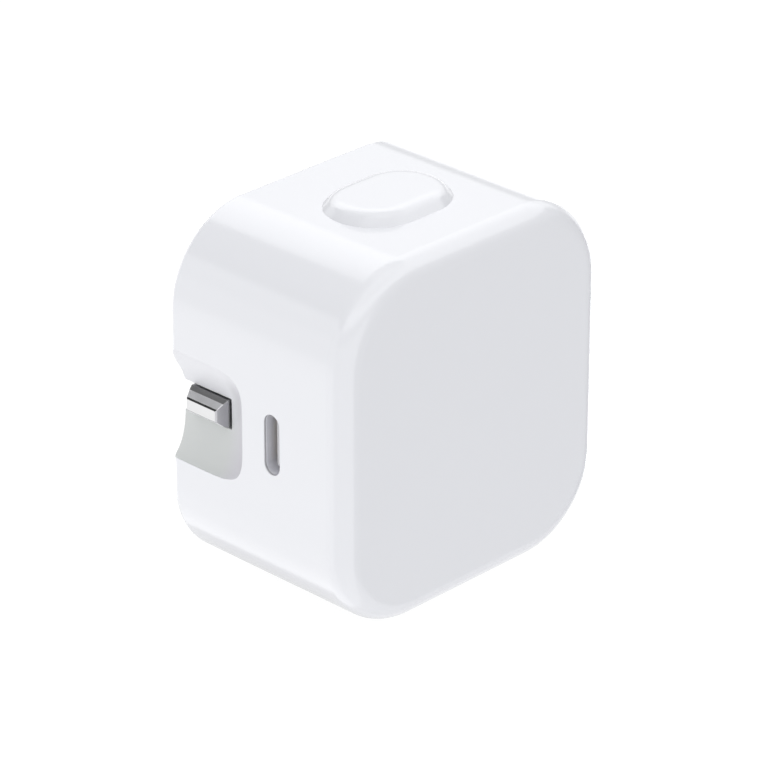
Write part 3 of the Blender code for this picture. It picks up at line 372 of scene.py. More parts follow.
def notch_cutter():
    """The notch's hollow: rings of its outline from the centre to the lip, closed outside the face."""
    around, rim_steps, rim = 120, 18, 0.7
    lip_gap, height = 0.02, 3.0        # the rings outside start just off the face and end well above it
    shares = [0.02, 0.2, 0.35, 0.5, 0.6, 0.68]
    shares += [rim + (1 - rim) * math.sin(math.pi / 2 * i / rim_steps) for i in range(rim_steps + 1)]
    angles = [2 * math.pi * (i + 0.5) / around for i in range(around)]
    rings = [[notch_point(share, angle) for angle in angles] for share in shares]
    outside = [[(x, FACE - lip_gap - lift, z) for x, _, z in rings[-1]] for lift in (0.0, height)]
    return loft(rings + outside)


def socket_cutters():
    """The pocket that holds the USB-C shell, the opening in front of it and that opening's rounded rim."""
    low, high = box_mm("usb_shell")
    centre = ((low.x + high.x) / 2, 0)
    pocket_size = (high.x - low.x + 2 * GAP, high.z - low.z + 2 * GAP)
    pocket = prism(slot_outline(*pocket_size, centre), "y", FACE + SOCKET_LIP, FACE + SOCKET_DEPTH)
    opening = prism(slot_outline(*SOCKET_OPENING, centre), "y", FACE - PAST, FACE + SOCKET_DEPTH)
    overlap, belly = 0.02, SOCKET_FLARE * CHAMFER_BELLY
    levels = ((0.0, SOCKET_FLARE + overlap), (belly, belly), (SOCKET_FLARE, 0.0), (SOCKET_FLARE, -PAST))
    rings = []
    for grow, level in levels:
        outline = slot_outline(SOCKET_OPENING[0] + 2 * grow, SOCKET_OPENING[1] + 2 * grow, centre)
        rings.append([place(point, "y", FACE + level) for point in outline])
    return [pocket, opening, loft(rings)]


def pin_gate():
    """The slot through the notch that the earth pin folds into."""
    half = PIN_THICKNESS / 2 + GATE_GAP
    middle = box_mm("earth_pin")[0].x + EARTH_PIN_WIDTH / 2
    back = FACE + NOTCH_BACKING + PAST
    step_depth, step = GATE_STEP
    sides = [(FACE - PAST, EARTH_TIP_WIDTH), (FACE + step_depth, EARTH_TIP_WIDTH + step),
             (back, EARTH_PIN_WIDTH)]
    outline = [(middle + width / 2 + GATE_GAP, y) for y, width in sides]
    return prism(outline + [(-PAST, back), (-PAST, FACE - PAST)], "z", -half, half)


def build_housing():
    housing = mesh_object("housing_shell", outer_body())
    backing = box(
        (0, NOTCH_REACH + NOTCH_WALL), (FACE + PAST, FACE + NOTCH_BACKING), (-BACKING_HALF, BACKING_HALF))
    combine(housing, "DIFFERENCE", [inner_body()])
    combine(housing, "UNION", [backing, grip(1), grip(-1)])
    combine(housing, "DIFFERENCE", [notch_cutter(), pin_gate(), *socket_cutters()])
    finish_piece(housing, "housing", "white_gloss")


# Plug face plate

def window_cutter(y, z, deep):
    """A window with rounded corners and a bevelled mouth."""
    steps, belly = 6, PLATE_BEVEL * CHAMFER_BELLY
    levels = ((-PAST, PLATE_BEVEL), (0, PLATE_BEVEL), (belly, belly), (PLATE_BEVEL, 0), (deep + PAST, 0))
    centre = ((y[0] + y[1]) / 2, (z[0] + z[1]) / 2)
    rings = []
    for x, grow in levels:
        outline = rounded_rectangle(
            y[1] - y[0] + 2 * grow, z[1] - z[0] + 2 * grow, WINDOW_CORNER + grow, steps, centre)
        rings.append([place(point, "x", x) for point in outline])
    return loft(rings)


def build_plate():
    low, high = box_mm("plug_face_plate")
    inset, belly = RIM_WALL + GAP, PLATE_BEVEL * CHAMFER_BELLY
    levels = ((low.x, PLATE_BEVEL), (low.x + belly, belly), (low.x + PLATE_BEVEL, 0), (high.x, 0))
    rings = [body_ring(x, inset + more, CORNER_STEPS) for x, more in levels]
    plate = mesh_object("plug_face_cover", loft(rings))
    half = BACKING_HALF + GAP
    windows = [((FACE - PAST, FACE + NOTCH_BACKING + GAP), (-half, half)),
               ((FACE - PAST, EARTH_WINDOW_END), (-EARTH_WINDOW_HALF, EARTH_WINDOW_HALF)),
               (LINE_WINDOW_Y, LINE_WINDOW_Z),
               (LINE_WINDOW_Y, (-LINE_WINDOW_Z[1], -LINE_WINDOW_Z[0]))]
    combine(plate, "DIFFERENCE", [window_cutter(y, z, high.x) for y, z in windows])
    pivot = hinge("neutral_fold")
    relief_x = (pivot.x - RELIEF_REACH, high.x + PAST)
    relief_y = (pivot.y - RELIEF_REACH, pivot.y + RELIEF_REACH)
    near, far = RELIEF_Z
    combine(plate, "DIFFERENCE", [box(relief_x, relief_y, z) for z in ((near, far), (-far, -near))])
    finish_piece(plate, "plug_face_plate", "white_gloss")


# Pins and sleeves, drawn folded

def pin_ring(y, centre, width_x, width_z, radius=PIN_BEVEL):
    corner_steps = 5
    outline = rounded_rectangle(width_x, width_z, radius, corner_steps, centre)
    return [place(point, "y", y) for point in outline]


def tip_rings(tip, towards, centre, size_x, size_z):
    """The bevelled end of a pin from its end face, with the shank at larger y where towards is 1."""
    inset_x, inset_z = TIP_INSET_WIDE, TIP_INSET_THICK
    if size_x < size_z:
        inset_x, inset_z = inset_z, inset_x
    broken = 1 - TIP_BREAK
    stations = [(0.0, -TIP_EDGE), (TIP_EDGE, 0.0), (TIP_LENGTH * broken, broken), (TIP_LENGTH, 1.0)]
    rings = []
    for along, share in stations:
        edge = min(share, 0.0)
        share = max(share, 0.0)
        in_x = inset_x * (1 - share) - edge
        in_z = inset_z * (1 - share) - edge
        rings.append(pin_ring(
            tip + towards * along, centre, size_x - 2 * in_x, size_z - 2 * in_z, VISIBLE_BEVEL))
    return rings


def tip_finish(normal, along):
    """The finish of a facet at a distance along from the end of a pin's tip: a copy of the pin's metal whose
    colour paints that facet's reflection.
    """
    square_on, sideways = 0.95, 0.5
    if abs(normal.y) > square_on:
        return "pin_end"
    if abs(normal.z) < sideways:
        return "pin_tip_side"
    if along < TIP_EDGE:
        return "pin_edge_painted_shade"
    if along < TIP_LENGTH * (1 - TIP_BREAK):
        return "pin_tip_inner_painted_bright"
    return "pin_tip_outer_painted_dark"


def paint_tip(piece, tip):
    """Gives the facets of a pin's tip their finishes: copies of the pin's metal with painted reflections, and
    painted shade in black round the end face.
    """
    finishes = ["pin_metal", "pin_end", "pin_edge_painted_shade", "pin_tip_inner_painted_bright", "pin_tip_outer_painted_dark", "pin_tip_side"]
    for finish in finishes[1:]:
        piece.data.materials.append(material(finish))
    tolerance = 0.01
    for face in piece.data.polygons:
        along = abs(face.center.y / MM - ORIGIN.y - tip)
        if along <= TIP_LENGTH - tolerance:
            face.material_index = finishes.index(tip_finish(face.normal, along))


def build_earth_pin():
    pivot = hinge("plug_fold")
    low = box_mm("earth_pin")[0]
    centre = (low.x + EARTH_PIN_WIDTH / 2, 0)
    root = pivot.y - EYE_ROOT
    shank = [pin_ring(y, centre, EARTH_PIN_WIDTH, PIN_THICKNESS, VISIBLE_BEVEL)
             for y in (low.y + TIP_LENGTH + EARTH_TAPER, root)]
    pin = mesh_object("earth_pin_metal", loft(
        tip_rings(low.y, 1, centre, EARTH_TIP_WIDTH, PIN_THICKNESS) + shank))
    half = PIN_THICKNESS / 2 - EYE_CLEARANCE
    eye = cylinder((pivot.x, pivot.y), EYE_RADIUS, "z", -half, half)
    tang_end, overlap = 1.0, 1.0
    tang = box((pivot.x - EYE_RADIUS, pivot.x + tang_end), (root - overlap, pivot.y), (-half, half))
    combine(pin, "UNION", [tang, eye])
    combine(pin, "DIFFERENCE", [
        cylinder((pivot.x, pivot.y), EYE_BORE, "z", -PIN_THICKNESS, PIN_THICKNESS)])
    finish_piece(pin, "earth_pin", "pin_metal", sharp_angle=12)
    paint_tip(pin, low.y)


def build_line_pin(side_name):
    pivot = hinge(side_name + "_fold")
    low, high = box_mm(side_name + "_pin")
    centre = (LINE_FOLDED_X, pivot.z)
    thin = (PIN_THICKNESS - SHANK_STEP, LINE_PIN_WIDTH - SHANK_STEP)
    thin_start = pivot.y - TANG_END
    shoulder = pivot.y + pivot.x + SLEEVE_END + SHOULDER_GAP
    rings = [pin_ring(y, (pivot.x, pivot.z), *TANG_SIZE) for y in (low.y, thin_start)]
    rings += [pin_ring(y, centre, *thin) for y in (thin_start, shoulder)]
    rings.append(pin_ring(shoulder, centre, PIN_THICKNESS, LINE_PIN_WIDTH, VISIBLE_BEVEL))
    rings += reversed(tip_rings(high.y, -1, centre, PIN_THICKNESS, LINE_PIN_WIDTH))
    pin = mesh_object(side_name + "_pin_metal", loft(rings))
    finish_piece(pin, side_name + "_pin", "pin_metal", sharp_angle=12)
    paint_tip(pin, high.y)


def build_sleeve(side_name):
    """A moulded sleeve with a rounded outer end."""
    pivot = hinge(side_name + "_fold")
    low, high = box_mm(side_name + "_sleeve")
    centre = (LINE_FOLDED_X, pivot.z)
    levels = [(low.y, 0)] + [(high.y - back, inset) for back, inset in SLEEVE_END_CURVE]
    sleeve = mesh_object(side_name + "_sleeve_moulded", loft([
        pin_ring(y, centre, PIN_THICKNESS - 2 * inset, LINE_PIN_WIDTH - 2 * inset, SLEEVE_CORNER)
        for y, inset in levels]))
    combine(sleeve, "DIFFERENCE", [loft([
        pin_ring(y, centre, PIN_THICKNESS - 2 * SLEEVE_WALL, LINE_PIN_WIDTH - 2 * SLEEVE_WALL)
        for y in (low.y - PAST, high.y + PAST)])])
    finish_piece(sleeve, side_name + "_sleeve", "black_plastic")


# Socket

def build_shell():
    low, high = box_mm("usb_shell")
    clearance = 0.02
    low.y = FACE + SOCKET_LIP + clearance
    centre = ((low.x + high.x) / 2, (low.z + high.z) / 2)
    size = (high.x - low.x, high.z - low.z)
    shell = mesh_object("usb_shell_drawn", prism(slot_outline(*size, centre), "y", low.y, high.y))
    inner = (size[0] - 2 * SHELL_WALL[0], size[1] - 2 * SHELL_WALL[1])
    deep, wide = 0.4, 0.25             # where the flare bulges, as shares of its size
    levels = ((low.y - PAST, SHELL_FLARE), (low.y, SHELL_FLARE),
              (low.y + SHELL_FLARE * deep, SHELL_FLARE * wide),
              (low.y + SHELL_FLARE, 0), (high.y + PAST, 0))
    bore = []
    for y, grow in levels:
        outline = slot_outline(inner[0] + 2 * grow, inner[1] + 2 * grow, centre)
        bore.append([place(point, "y", y) for point in outline])
    combine(shell, "DIFFERENCE", [loft(bore)])
    # the shell's steel as a matt, pale copy: painted light inside the socket
    finish_piece(shell, "usb_shell", "steel", sharp_angle=35, finish="socket_steel_painted_light")


def build_tongue():
    """A thin blade with a rounded end on a block that closes the shell's back."""
    low, high = box_mm("usb_tongue")
    shell_low, shell_high = box_mm("usb_shell")
    centre = ((low.x + high.x) / 2, (low.z + high.z) / 2)
    block = shell_high.y - TONGUE_PLUG
    tongue = mesh_object("usb_tongue_moulded", prism(
        slot_outline(high.x - low.x, high.z - low.z, centre), "y", block, high.y))
    tip = shell_low.y + TONGUE_RECESS
    belly = TONGUE_ROUNDING * CHAMFER_BELLY
    corner, corner_steps, overlap = 0.1, 4, 0.5
    levels = ((tip, TONGUE_ROUNDING), (tip + belly, belly), (tip + TONGUE_ROUNDING, 0), (block + overlap, 0))
    rings = []
    for y, inset in levels:
        outline = rounded_rectangle(
            TONGUE_SIZE[0] - 2 * inset, TONGUE_SIZE[1] - 2 * inset, corner, corner_steps, centre)
        rings.append([place(point, "y", y) for point in outline])
    combine(tongue, "UNION", [loft(rings)])
    finish_piece(tongue, "usb_tongue", "socket_plastic", sharp_angle=35)


# Materials

# name: colour, share of it left in the darker mottles, metallic, roughness, its spread, grain and bump (mm)
FINISHES = {
    "white_gloss": ((0.80, 0.809, 0.846), 0.99, 0.0, 0.16, 0.02, 0.5, 0.002),
    "grey_plastic": ((0.35, 0.36, 0.38), 0.85, 0.0, 0.5, 0.1, 0.25, 0.01),
    "socket_plastic": ((0.62, 0.62, 0.64), 0.9, 0.0, 0.4, 0.1, 0.2, 0.005),
    "black_plastic": ((0.02, 0.02, 0.022), 0.7, 0.0, 0.45, 0.12, 0.25, 0.012),
    "pin_metal": ((0.40, 0.40, 0.405), 0.93, 1.0, 0.24, 0.08, 0.3, 0.002),
    # The pin tip's facets: copies of the pin's metal whose colours paint the reflections each facet shows, a
    # darker end face and lighter sides, a painted dark reflection on the outer facet, a painted bright one on
    # the inner facet, and painted shade in black round the end face
    "pin_end": ((0.385, 0.385, 0.39), 0.95, 1.0, 0.3, 0.1, 0.15, 0.002),
    "pin_tip_side": ((0.47, 0.47, 0.49), 0.9, 1.0, 0.4, 0.1, 0.15, 0.004),
    "pin_tip_outer_painted_dark": ((0.27, 0.27, 0.27), 0.80, 1.0, 0.5, 0.1, 0.15, 0.004),
    "pin_tip_inner_painted_bright": ((0.88, 0.88, 0.90), 0.75, 1.0, 0.5, 0.1, 0.12, 0.004),
    "pin_edge_painted_shade": ((0.015, 0.015, 0.016), 0.8, 0.0, 0.5, 0.1, 0.2, 0.002),
    # A matt, pale copy of steel for the socket shell: painted light inside the socket
    "socket_steel_painted_light": ((0.74, 0.745, 0.80), 0.93, 0.0, 0.45, 0.1, 0.3, 0.002),
    "steel": ((0.55, 0.55, 0.56), 0.85, 1.0, 0.3, 0.1, 0.2, 0.004),
    "spring_bronze": ((0.72, 0.45, 0.25), 0.85, 1.0, 0.3, 0.1, 0.3, 0.004),
    "gold_plate": ((0.85, 0.65, 0.25), 0.9, 1.0, 0.22, 0.08, 0.15, 0.002),
    "board_green": ((0.02, 0.16, 0.07), 0.75, 0.0, 0.4, 0.1, 0.6, 0.01),
    "ferrite": ((0.06, 0.06, 0.065), 0.7, 0.0, 0.6, 0.15, 0.12, 0.015),
    "winding_tape": ((0.80, 0.60, 0.08), 0.9, 0.0, 0.35, 0.1, 0.8, 0.02),
    "copper_wire": ((0.70, 0.28, 0.12), 0.8, 1.0, 0.35, 0.1, 0.35, 0.05),
    "capacitor_sleeve": ((0.03, 0.06, 0.14), 0.8, 0.0, 0.32, 0.1, 0.7, 0.01),
    "capacitor_blue": ((0.05, 0.20, 0.50), 0.8, 0.0, 0.4, 0.1, 0.5, 0.015),
    "chip_black": ((0.025, 0.025, 0.03), 0.7, 0.0, 0.55, 0.1, 0.1, 0.01),
    "aluminium": ((0.75, 0.76, 0.77), 0.9, 1.0, 0.35, 0.1, 0.4, 0.006),
    "thermal_grey": ((0.45, 0.50, 0.55), 0.85, 0.0, 0.8, 0.1, 0.3, 0.03),
    "insulation_film": ((0.75, 0.45, 0.15), 0.9, 0.0, 0.3, 0.1, 1.5, 0.01),
}
COARSE_GRAIN = 12                      # size of the mottles, in grains
BUMP_STRENGTH = 0.6
PLAIN_SHINE = 0.5                      # the shader's own specular level

# The notch's hollow: a rougher, duller gloss, and painted shade in its colour: light above, green-grey below
# and grey at its end
PAINTED_SHADE_ABOVE = (0.79, 0.795, 0.83, 1.0)
PAINTED_SHADE_BELOW = (0.655, 0.675, 0.672, 1.0)
PAINTED_SHADE_END = (0.68, 0.675, 0.715, 1.0)
SATIN_ROUGHNESS = 0.45
SATIN_SHINE = 0.2
SATIN_AND_SHADE_DEPTH = 0.1                      # below the face, where it starts
SATIN_AND_SHADE_MARGIN = 0.3                     # past the notch's outline
PAINTED_SHADE_BELOW_TOP = -2.0                 # height where the lower painted shade starts to fade upwards
PAINTED_SHADE_END_TOP = 2.5
PAINTED_SHADE_FADE = (4.0, 4.5)                # heights over which those two fade
PAINTED_SHADE_END_X = 10.0                     # where the end's painted shade is full
PAINTED_SHADE_TURN_X = (8.0, 10.5)             # where green-grey turns to grey

MOUTH_PAINTED_SHADE = (0.47, 0.47, 0.495, 1.0)  # painted shade inside the housing's socket opening
MOUTH_DEPTH = 0.12                     # below the face, where it starts


def node(tree, kind, settings=(), **inputs):
    """Adds a node. inputs are values or sockets, named i0, i1 and so on, or by name with _ for a space."""
    made = tree.nodes.new(kind)
    for key, value in dict(settings).items():
        setattr(made, key, value)
    for key, value in inputs.items():
        by_number = key[0] == "i" and key[1:].isdigit()
        socket = made.inputs[int(key[1:]) if by_number else key.replace("_", " ")]
        if isinstance(value, bpy.types.NodeSocket):
            tree.links.new(value, socket)
        else:
            socket.default_value = value
    return made


def math_node(tree, operation, first, second=0.0, third=0.0):
    return node(tree, "ShaderNodeMath", {"operation": operation}, i0=first, i1=second, i2=third).outputs[0]


def mix_colours(tree, share, first, second):
    return node(tree, "ShaderNodeMix", {"data_type": "RGBA"}, i0=share, i6=first, i7=second).outputs[2]


def material(finish):
    """The procedural material of a finish: mottled colour, varied roughness and a fine bump."""
    found = bpy.data.materials.get("finish_" + finish)
    if found:
        return found
    colour, mottle, metallic, roughness, spread, grain, bump = FINISHES[finish]
    made = bpy.data.materials.new("finish_" + finish)
    made.use_nodes = True
    tree = made.node_tree
    shader = tree.nodes["Principled BSDF"]
    where = node(tree, "ShaderNodeTexCoord").outputs["Object"]
    coarse = node(tree, "ShaderNodeTexNoise", Vector=where, Scale=1 / (grain * COARSE_GRAIN * MM), Detail=3.0)
    fine = node(tree, "ShaderNodeTexNoise", Vector=where, Scale=1 / (grain * MM), Detail=2.0)
    shade = mix_colours(tree, coarse.outputs["Fac"], (*[c * mottle for c in colour], 1.0), (*colour, 1.0))
    gloss = node(tree, "ShaderNodeMapRange", Value=fine.outputs["Fac"], To_Min=roughness - spread / 2,
                 To_Max=roughness + spread / 2)
    relief = node(tree, "ShaderNodeBump", Height=fine.outputs["Fac"], Strength=BUMP_STRENGTH,
                  Distance=bump * MM)
    dull = gloss.outputs["Result"]
    if finish == "white_gloss":
        # the housing's white: a rougher, duller gloss in the notch, and painted shade there and in the socket
        # opening
        hollow, shade = notch_shade(tree, shade)
        dull = math_node(tree, "MULTIPLY_ADD", hollow, SATIN_ROUGHNESS - roughness, dull)
        shine = math_node(tree, "MULTIPLY_ADD", hollow, SATIN_SHINE - PLAIN_SHINE, PLAIN_SHINE)
        tree.links.new(shine, shader.inputs["Specular IOR Level"])
    tree.links.new(shade, shader.inputs["Base Color"])
    tree.links.new(dull, shader.inputs["Roughness"])
    tree.links.new(relief.outputs["Normal"], shader.inputs["Normal"])
    shader.inputs["Metallic"].default_value = metallic
    return made


def window(tree, value, low, high, soft):
    """1 where value lies between low and high, falling to 0 over soft, all in metres."""
    smooth = {"interpolation_type": "SMOOTHSTEP"}
    rise = node(tree, "ShaderNodeMapRange", smooth, Value=value, From_Min=low - soft, From_Max=low)
    fall = node(tree, "ShaderNodeMapRange", smooth, Value=value, From_Min=high, From_Max=high + soft,
                To_Min=1.0, To_Max=0.0)
    return math_node(tree, "MULTIPLY", rise.outputs[0], fall.outputs[0])


def notch_shade(tree, colour):
    """Where the notch is, from 0 to 1, and the colour with the painted shade of the notch and of the socket
    opening.
    """
    where = node(tree, "ShaderNodeTexCoord").outputs["Object"]
    x, y, z = node(tree, "ShaderNodeSeparateXYZ", Vector=where).outputs

    def world(axis, value):
        return (value + ORIGIN[axis]) * MM

    def reach(axis, value, low, high, soft):
        return window(tree, value, world(axis, low), world(axis, high), soft * MM)

    def both(first, second):
        return math_node(tree, "MULTIPLY", first, second)

    far = 20.0
    bottom = -NOTCH_BELOW - SATIN_AND_SHADE_MARGIN
    outline_soft, depth_soft, end_soft = 0.2, 0.08, 1.5
    outline = both(reach(0, x, -PAST, NOTCH_REACH + SATIN_AND_SHADE_MARGIN, outline_soft),
                   reach(2, z, bottom, NOTCH_ABOVE + SATIN_AND_SHADE_MARGIN, outline_soft))
    hollow = both(reach(1, y, FACE + SATIN_AND_SHADE_DEPTH, FACE + NOTCH_DEPTH + PAST, depth_soft), outline)
    lower_fade, end_fade = PAINTED_SHADE_FADE
    lower = reach(2, z, bottom, PAINTED_SHADE_BELOW_TOP, lower_fade)
    end = both(reach(2, z, -NOTCH_BELOW, PAINTED_SHADE_END_TOP, end_fade), reach(0, x, PAINTED_SHADE_END_X, far, end_soft))
    dark = math_node(tree, "MAXIMUM", lower, end)
    turn_start, turn_end = PAINTED_SHADE_TURN_X
    turn = node(tree, "ShaderNodeMapRange", Value=x, From_Min=world(0, turn_start),
                From_Max=world(0, turn_end))
    # painted shade in the notch: lighter above, green-grey below and grey at its end
    painted_shade = mix_colours(tree, dark, PAINTED_SHADE_ABOVE, mix_colours(tree, turn.outputs[0], PAINTED_SHADE_BELOW, PAINTED_SHADE_END))
    shade = mix_colours(tree, hollow, colour, painted_shade)

    # painted shade inside the socket opening, on the housing's white lip
    low, high = box_mm("usb_shell")
    mouth_soft, rim_soft = 0.02, 0.03
    mouth_outline = both(reach(0, x, low.x, high.x, mouth_soft), reach(2, z, low.z, high.z, mouth_soft))
    mouth = both(mouth_outline, reach(1, y, FACE + MOUTH_DEPTH, FACE + PAST, rim_soft))
    return hollow, mix_colours(tree, mouth, shade, MOUTH_PAINTED_SHADE)


# CAD nodes that keep their shape

GENTLE_ANGLE = math.radians(32)        # edges up to this angle are shaded smooth
ROUNDED_ANGLE = math.radians(40)       # edges from this angle are rounded
EDGE_ROUNDING = 0.06
JOIN_DISTANCE = 0.002


def softening():
    """A modifier's node group that joins a CAD node's triangles and shades its gentle edges smooth."""
    group = bpy.data.node_groups.new("joined and smoothed", "GeometryNodeTree")
    group.interface.new_socket("Geometry", in_out="INPUT", socket_type="NodeSocketGeometry")
    group.interface.new_socket("Geometry", in_out="OUTPUT", socket_type="NodeSocketGeometry")
    entry = group.nodes.new("NodeGroupInput").outputs[0]
    leave = group.nodes.new("NodeGroupOutput").inputs[0]
    joined = node(group, "GeometryNodeMergeByDistance", Geometry=entry, Distance=JOIN_DISTANCE * MM)
    smooth = node(group, "GeometryNodeSetShadeSmooth", {"domain": "FACE"}, Geometry=joined.outputs[0])
    angle = node(group, "GeometryNodeInputMeshEdgeAngle").outputs[0]
    gentle = node(group, "FunctionNodeCompare", {"operation": "LESS_THAN"}, A=angle, B=GENTLE_ANGLE)
    edges = node(group, "GeometryNodeSetShadeSmooth", {"domain": "EDGE"}, Geometry=smooth.outputs[0],
                 Shade_Smooth=gentle.outputs[0])
    group.links.new(edges.outputs[0], leave)
    return group


def dress_cad_nodes():
    """Gives the CAD nodes that still show their materials, smooth shading and rounded edges."""
    group = softening()
    for piece in frame["nodes"].values():
        if piece.hide_render:
            continue
        slot = piece.data.materials[0].name.split(".")[0]
        piece.data.materials[0] = material(slot)
        smoothing = piece.modifiers.new("joined and smoothed", "NODES")
        smoothing.node_group = group
        rounding = piece.modifiers.new("rounded edges", "BEVEL")
        rounding.width = EDGE_ROUNDING * MM
        rounding.segments = 2
        rounding.limit_method = "ANGLE"
        rounding.angle_limit = ROUNDED_ANGLE


# Stage, light and camera

CAMERA_AZIMUTH = 44.37                 # from straight in front of the socket face towards the front face
CAMERA_ELEVATION = 26.16
CAMERA_DISTANCE = 0.5545               # in metres
CAMERA_LENS = 202.0
SENSOR = 36.0
AIM_SHIFT = (-0.87, -0.51)             # right, up, in millimetres

# Light that matt surfaces see: from all round, more from +x and -y, and most from overhead
SIDE_LIGHT = 0.28
SKY_LIGHT = 0.54
ZENITH_LIGHT = 1.18
ZENITH_FOCUS = 4.0                     # power that gathers that light overhead
FLOOR_LIGHT = 1.21
BACKDROP_LIGHT = 1.05                  # what the camera sees past the floor

# What gloss mirrors: four sides of the studio, each a stack of even bands (top edge as z, brightness)
PORT_SIDE = ((-0.60, 2.0), (-0.20, 2.3), (0.20, 1.7), (0.47, 1.3), (1.0, 0.0))
EDGE_SIDE = ((0.20, 1.4), (0.47, 0.6), (0.76, 2.0), (1.0, 1.2))
FRONT_SIDE = ((-0.60, 0.6), (0.20, 0.0), (0.47, 0.3), (0.76, 2.2), (1.0, 1.4))
BACK_SIDE = ((-0.50, 0.9), (-0.20, 2.4), (0.05, 1.5), (0.25, 0.6), (0.47, 1.6), (0.76, 2.5), (1.0, 0.8))
PORT_SIDE_END = -90.0                  # azimuths, anticlockwise from +x, where the sides meet
EDGE_SIDE_END = 8.0
FRONT_SIDE_END = 90.0
BRIGHTEST = 2.5

# Shade on the floor, which dims its light upwards
UNDERSIDE_SHARE = 0.45                 # of that light left below the object
UNDERSIDE_SOFT = 4.0                   # width of the shade's edge
UNDERSIDE_MARGIN = 3.0                 # how far it stays inside the body's outline in x

# The floor as the camera sees it: near white by itself, and white where the studio lights it
FLOOR_REACH = 1500.0
FLOOR_THICKNESS = 5.0
FLOOR_GLOW = 0.92
FLOOR_PAPER = (0.16, 0.16, 0.16, 1)


def band_stack(tree, height, bands):
    """Brightness by height, the z of a direction from -1 to 1, from a stack of (top edge, brightness)."""
    ramp = tree.nodes.new("ShaderNodeValToRGB")
    ramp.color_ramp.interpolation = "CONSTANT"
    stops = ramp.color_ramp.elements
    stops.remove(stops[1])
    start = 0.0
    for index, (top, brightness) in enumerate(bands):
        stop = stops[0] if index == 0 else stops.new(start)
        stop.color = (*[brightness / BRIGHTEST] * 3, 1.0)
        start = (top + 1) / 2
    share = math_node(tree, "MULTIPLY_ADD", height, 0.5, 0.5)
    tree.links.new(share, ramp.inputs[0])
    return math_node(tree, "MULTIPLY", ramp.outputs[0], BRIGHTEST)


def mix_levels(tree, share, first, second):
    return node(tree, "ShaderNodeMix", i0=share, i2=first, i3=second).outputs[0]


def mirrored_light(tree, direction):
    """What gloss sees in a direction."""
    x, y, z = node(tree, "ShaderNodeSeparateXYZ", Vector=direction).outputs
    azimuth = math_node(tree, "MULTIPLY", math_node(tree, "ARCTAN2", y, x), math.degrees(1))
    level = band_stack(tree, z, PORT_SIDE)
    others = ((PORT_SIDE_END, EDGE_SIDE), (EDGE_SIDE_END, FRONT_SIDE), (FRONT_SIDE_END, BACK_SIDE))
    for start, bands in others:
        past = math_node(tree, "GREATER_THAN", azimuth, start)
        level = mix_levels(tree, past, level, band_stack(tree, z, bands))
    return level


def build_world():
    world = bpy.data.worlds.new("studio")
    bpy.context.scene.world = world
    world.cycles.sampling_method = "NONE"      # so that light reaches every surface as its own kind of ray
    world.use_nodes = True
    tree = world.node_tree
    tree.nodes.clear()
    where = node(tree, "ShaderNodeTexCoord").outputs["Generated"]
    x, y, z = node(tree, "ShaderNodeSeparateXYZ", Vector=where).outputs
    path = node(tree, "ShaderNodeLightPath")

    sideways = math_node(tree, "SUBTRACT", x, y)
    sides = math_node(tree, "MULTIPLY_ADD", sideways, SIDE_LIGHT / 2, SIDE_LIGHT)
    sky = math_node(tree, "MULTIPLY_ADD", z, SKY_LIGHT, sides)
    zenith = math_node(tree, "POWER", math_node(tree, "MAXIMUM", z, 0.0), ZENITH_FOCUS)
    soft = math_node(tree, "MULTIPLY_ADD", zenith, ZENITH_LIGHT, sky)

    surfaces = mix_levels(tree, path.outputs["Is Glossy Ray"], soft, mirrored_light(tree, where))
    level = mix_levels(tree, path.outputs["Is Camera Ray"], surfaces, BACKDROP_LIGHT)
    light = node(tree, "ShaderNodeBackground", Color=(1.0, 1.0, 1.0, 1.0), Strength=level)
    node(tree, "ShaderNodeOutputWorld", Surface=light.outputs[0])


def underside_shade(tree):
    """1 on the floor below the object, falling to 0 round it."""
    where = node(tree, "ShaderNodeTexCoord").outputs["Object"]
    x, y, _ = node(tree, "ShaderNodeSeparateXYZ", Vector=where).outputs
    half_x = (BODY_DEPTH / 2 - UNDERSIDE_MARGIN) * MM
    half_y, soft = BODY_LENGTH / 2 * MM, UNDERSIDE_SOFT * MM
    return math_node(tree, "MULTIPLY", window(tree, x, -half_x, half_x, soft),
                     window(tree, y, -half_y, half_y, soft))


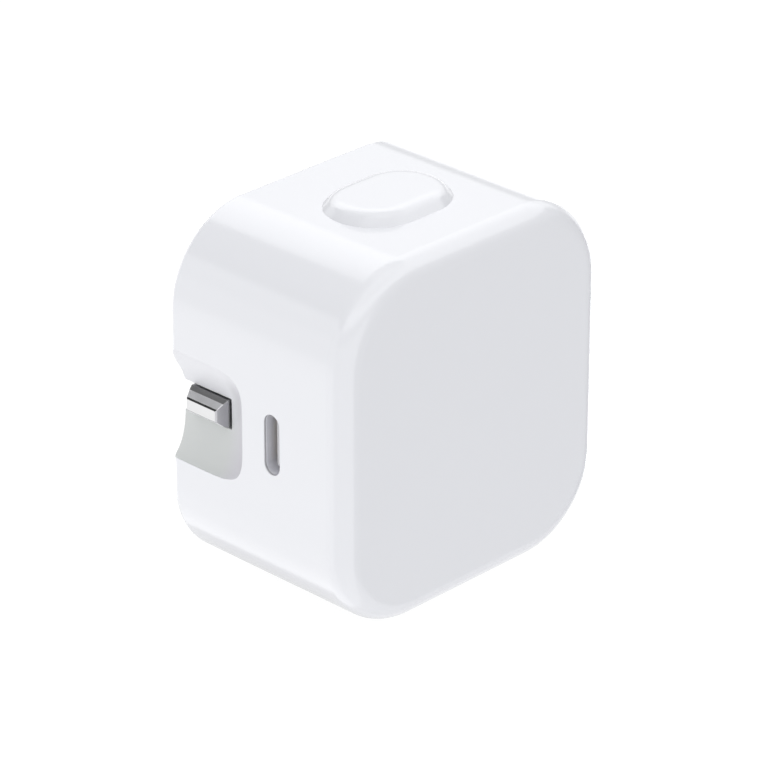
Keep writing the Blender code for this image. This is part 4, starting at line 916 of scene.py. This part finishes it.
def build_floor():
    """A white floor that lights matt surfaces from below, and that gloss doesn't see."""
    top = -BODY_HEIGHT / 2 - GRIP_HEIGHT
    extent = (-FLOOR_REACH, FLOOR_REACH)
    floor = mesh_object("floor", box(extent, extent, (top - FLOOR_THICKNESS, top)))
    made = bpy.data.materials.new("floor")
    made.use_nodes = True
    tree = made.node_tree
    tree.nodes.clear()
    path = node(tree, "ShaderNodeLightPath")
    glow = node(tree, "ShaderNodeEmission", Strength=FLOOR_GLOW)
    paper = node(tree, "ShaderNodeBsdfDiffuse", Color=FLOOR_PAPER)
    seen = node(tree, "ShaderNodeAddShader", i0=glow.outputs[0], i1=paper.outputs[0])
    dimming = (UNDERSIDE_SHARE - 1) * FLOOR_LIGHT
    level = math_node(tree, "MULTIPLY_ADD", underside_shade(tree), dimming, FLOOR_LIGHT)
    bounce = node(tree, "ShaderNodeEmission", Strength=level)
    mix = node(tree, "ShaderNodeMixShader", i0=path.outputs["Is Camera Ray"], i1=bounce.outputs[0],
               i2=seen.outputs[0])
    node(tree, "ShaderNodeOutputMaterial", Surface=mix.outputs[0])
    made.cycles.emission_sampling = "NONE"     # for the same reason as the world's
    floor.data.materials.append(made)
    floor.visible_glossy = False


def build_camera():
    """A long lens at the photo's angle."""
    azimuth, elevation = math.radians(CAMERA_AZIMUTH), math.radians(CAMERA_ELEVATION)
    back = Vector((math.sin(azimuth) * math.cos(elevation), -math.cos(azimuth) * math.cos(elevation),
                   math.sin(elevation)))
    right = Vector((math.cos(azimuth), math.sin(azimuth), 0))
    up = back.cross(right)
    centre = (cad_box[0] + cad_box[1]) / 2
    data = bpy.data.cameras.new("camera")
    data.lens = CAMERA_LENS
    data.sensor_width = SENSOR
    camera = bpy.data.objects.new("camera", data)
    camera.location = centre + (right * AIM_SHIFT[0] + up * AIM_SHIFT[1]) * MM + back * CAMERA_DISTANCE
    camera.rotation_mode = "QUATERNION"
    camera.rotation_quaternion = back.to_track_quat("Z", "Y")
    bpy.context.collection.objects.link(camera)
    bpy.context.scene.camera = camera
    bpy.context.scene.view_settings.view_transform = "Standard"


build_housing()
build_plate()
build_earth_pin()
for side_name in ("live", "neutral"):
    build_line_pin(side_name)
    build_sleeve(side_name)
build_shell()
build_tongue()
dress_cad_nodes()
build_world()
build_floor()
build_camera()
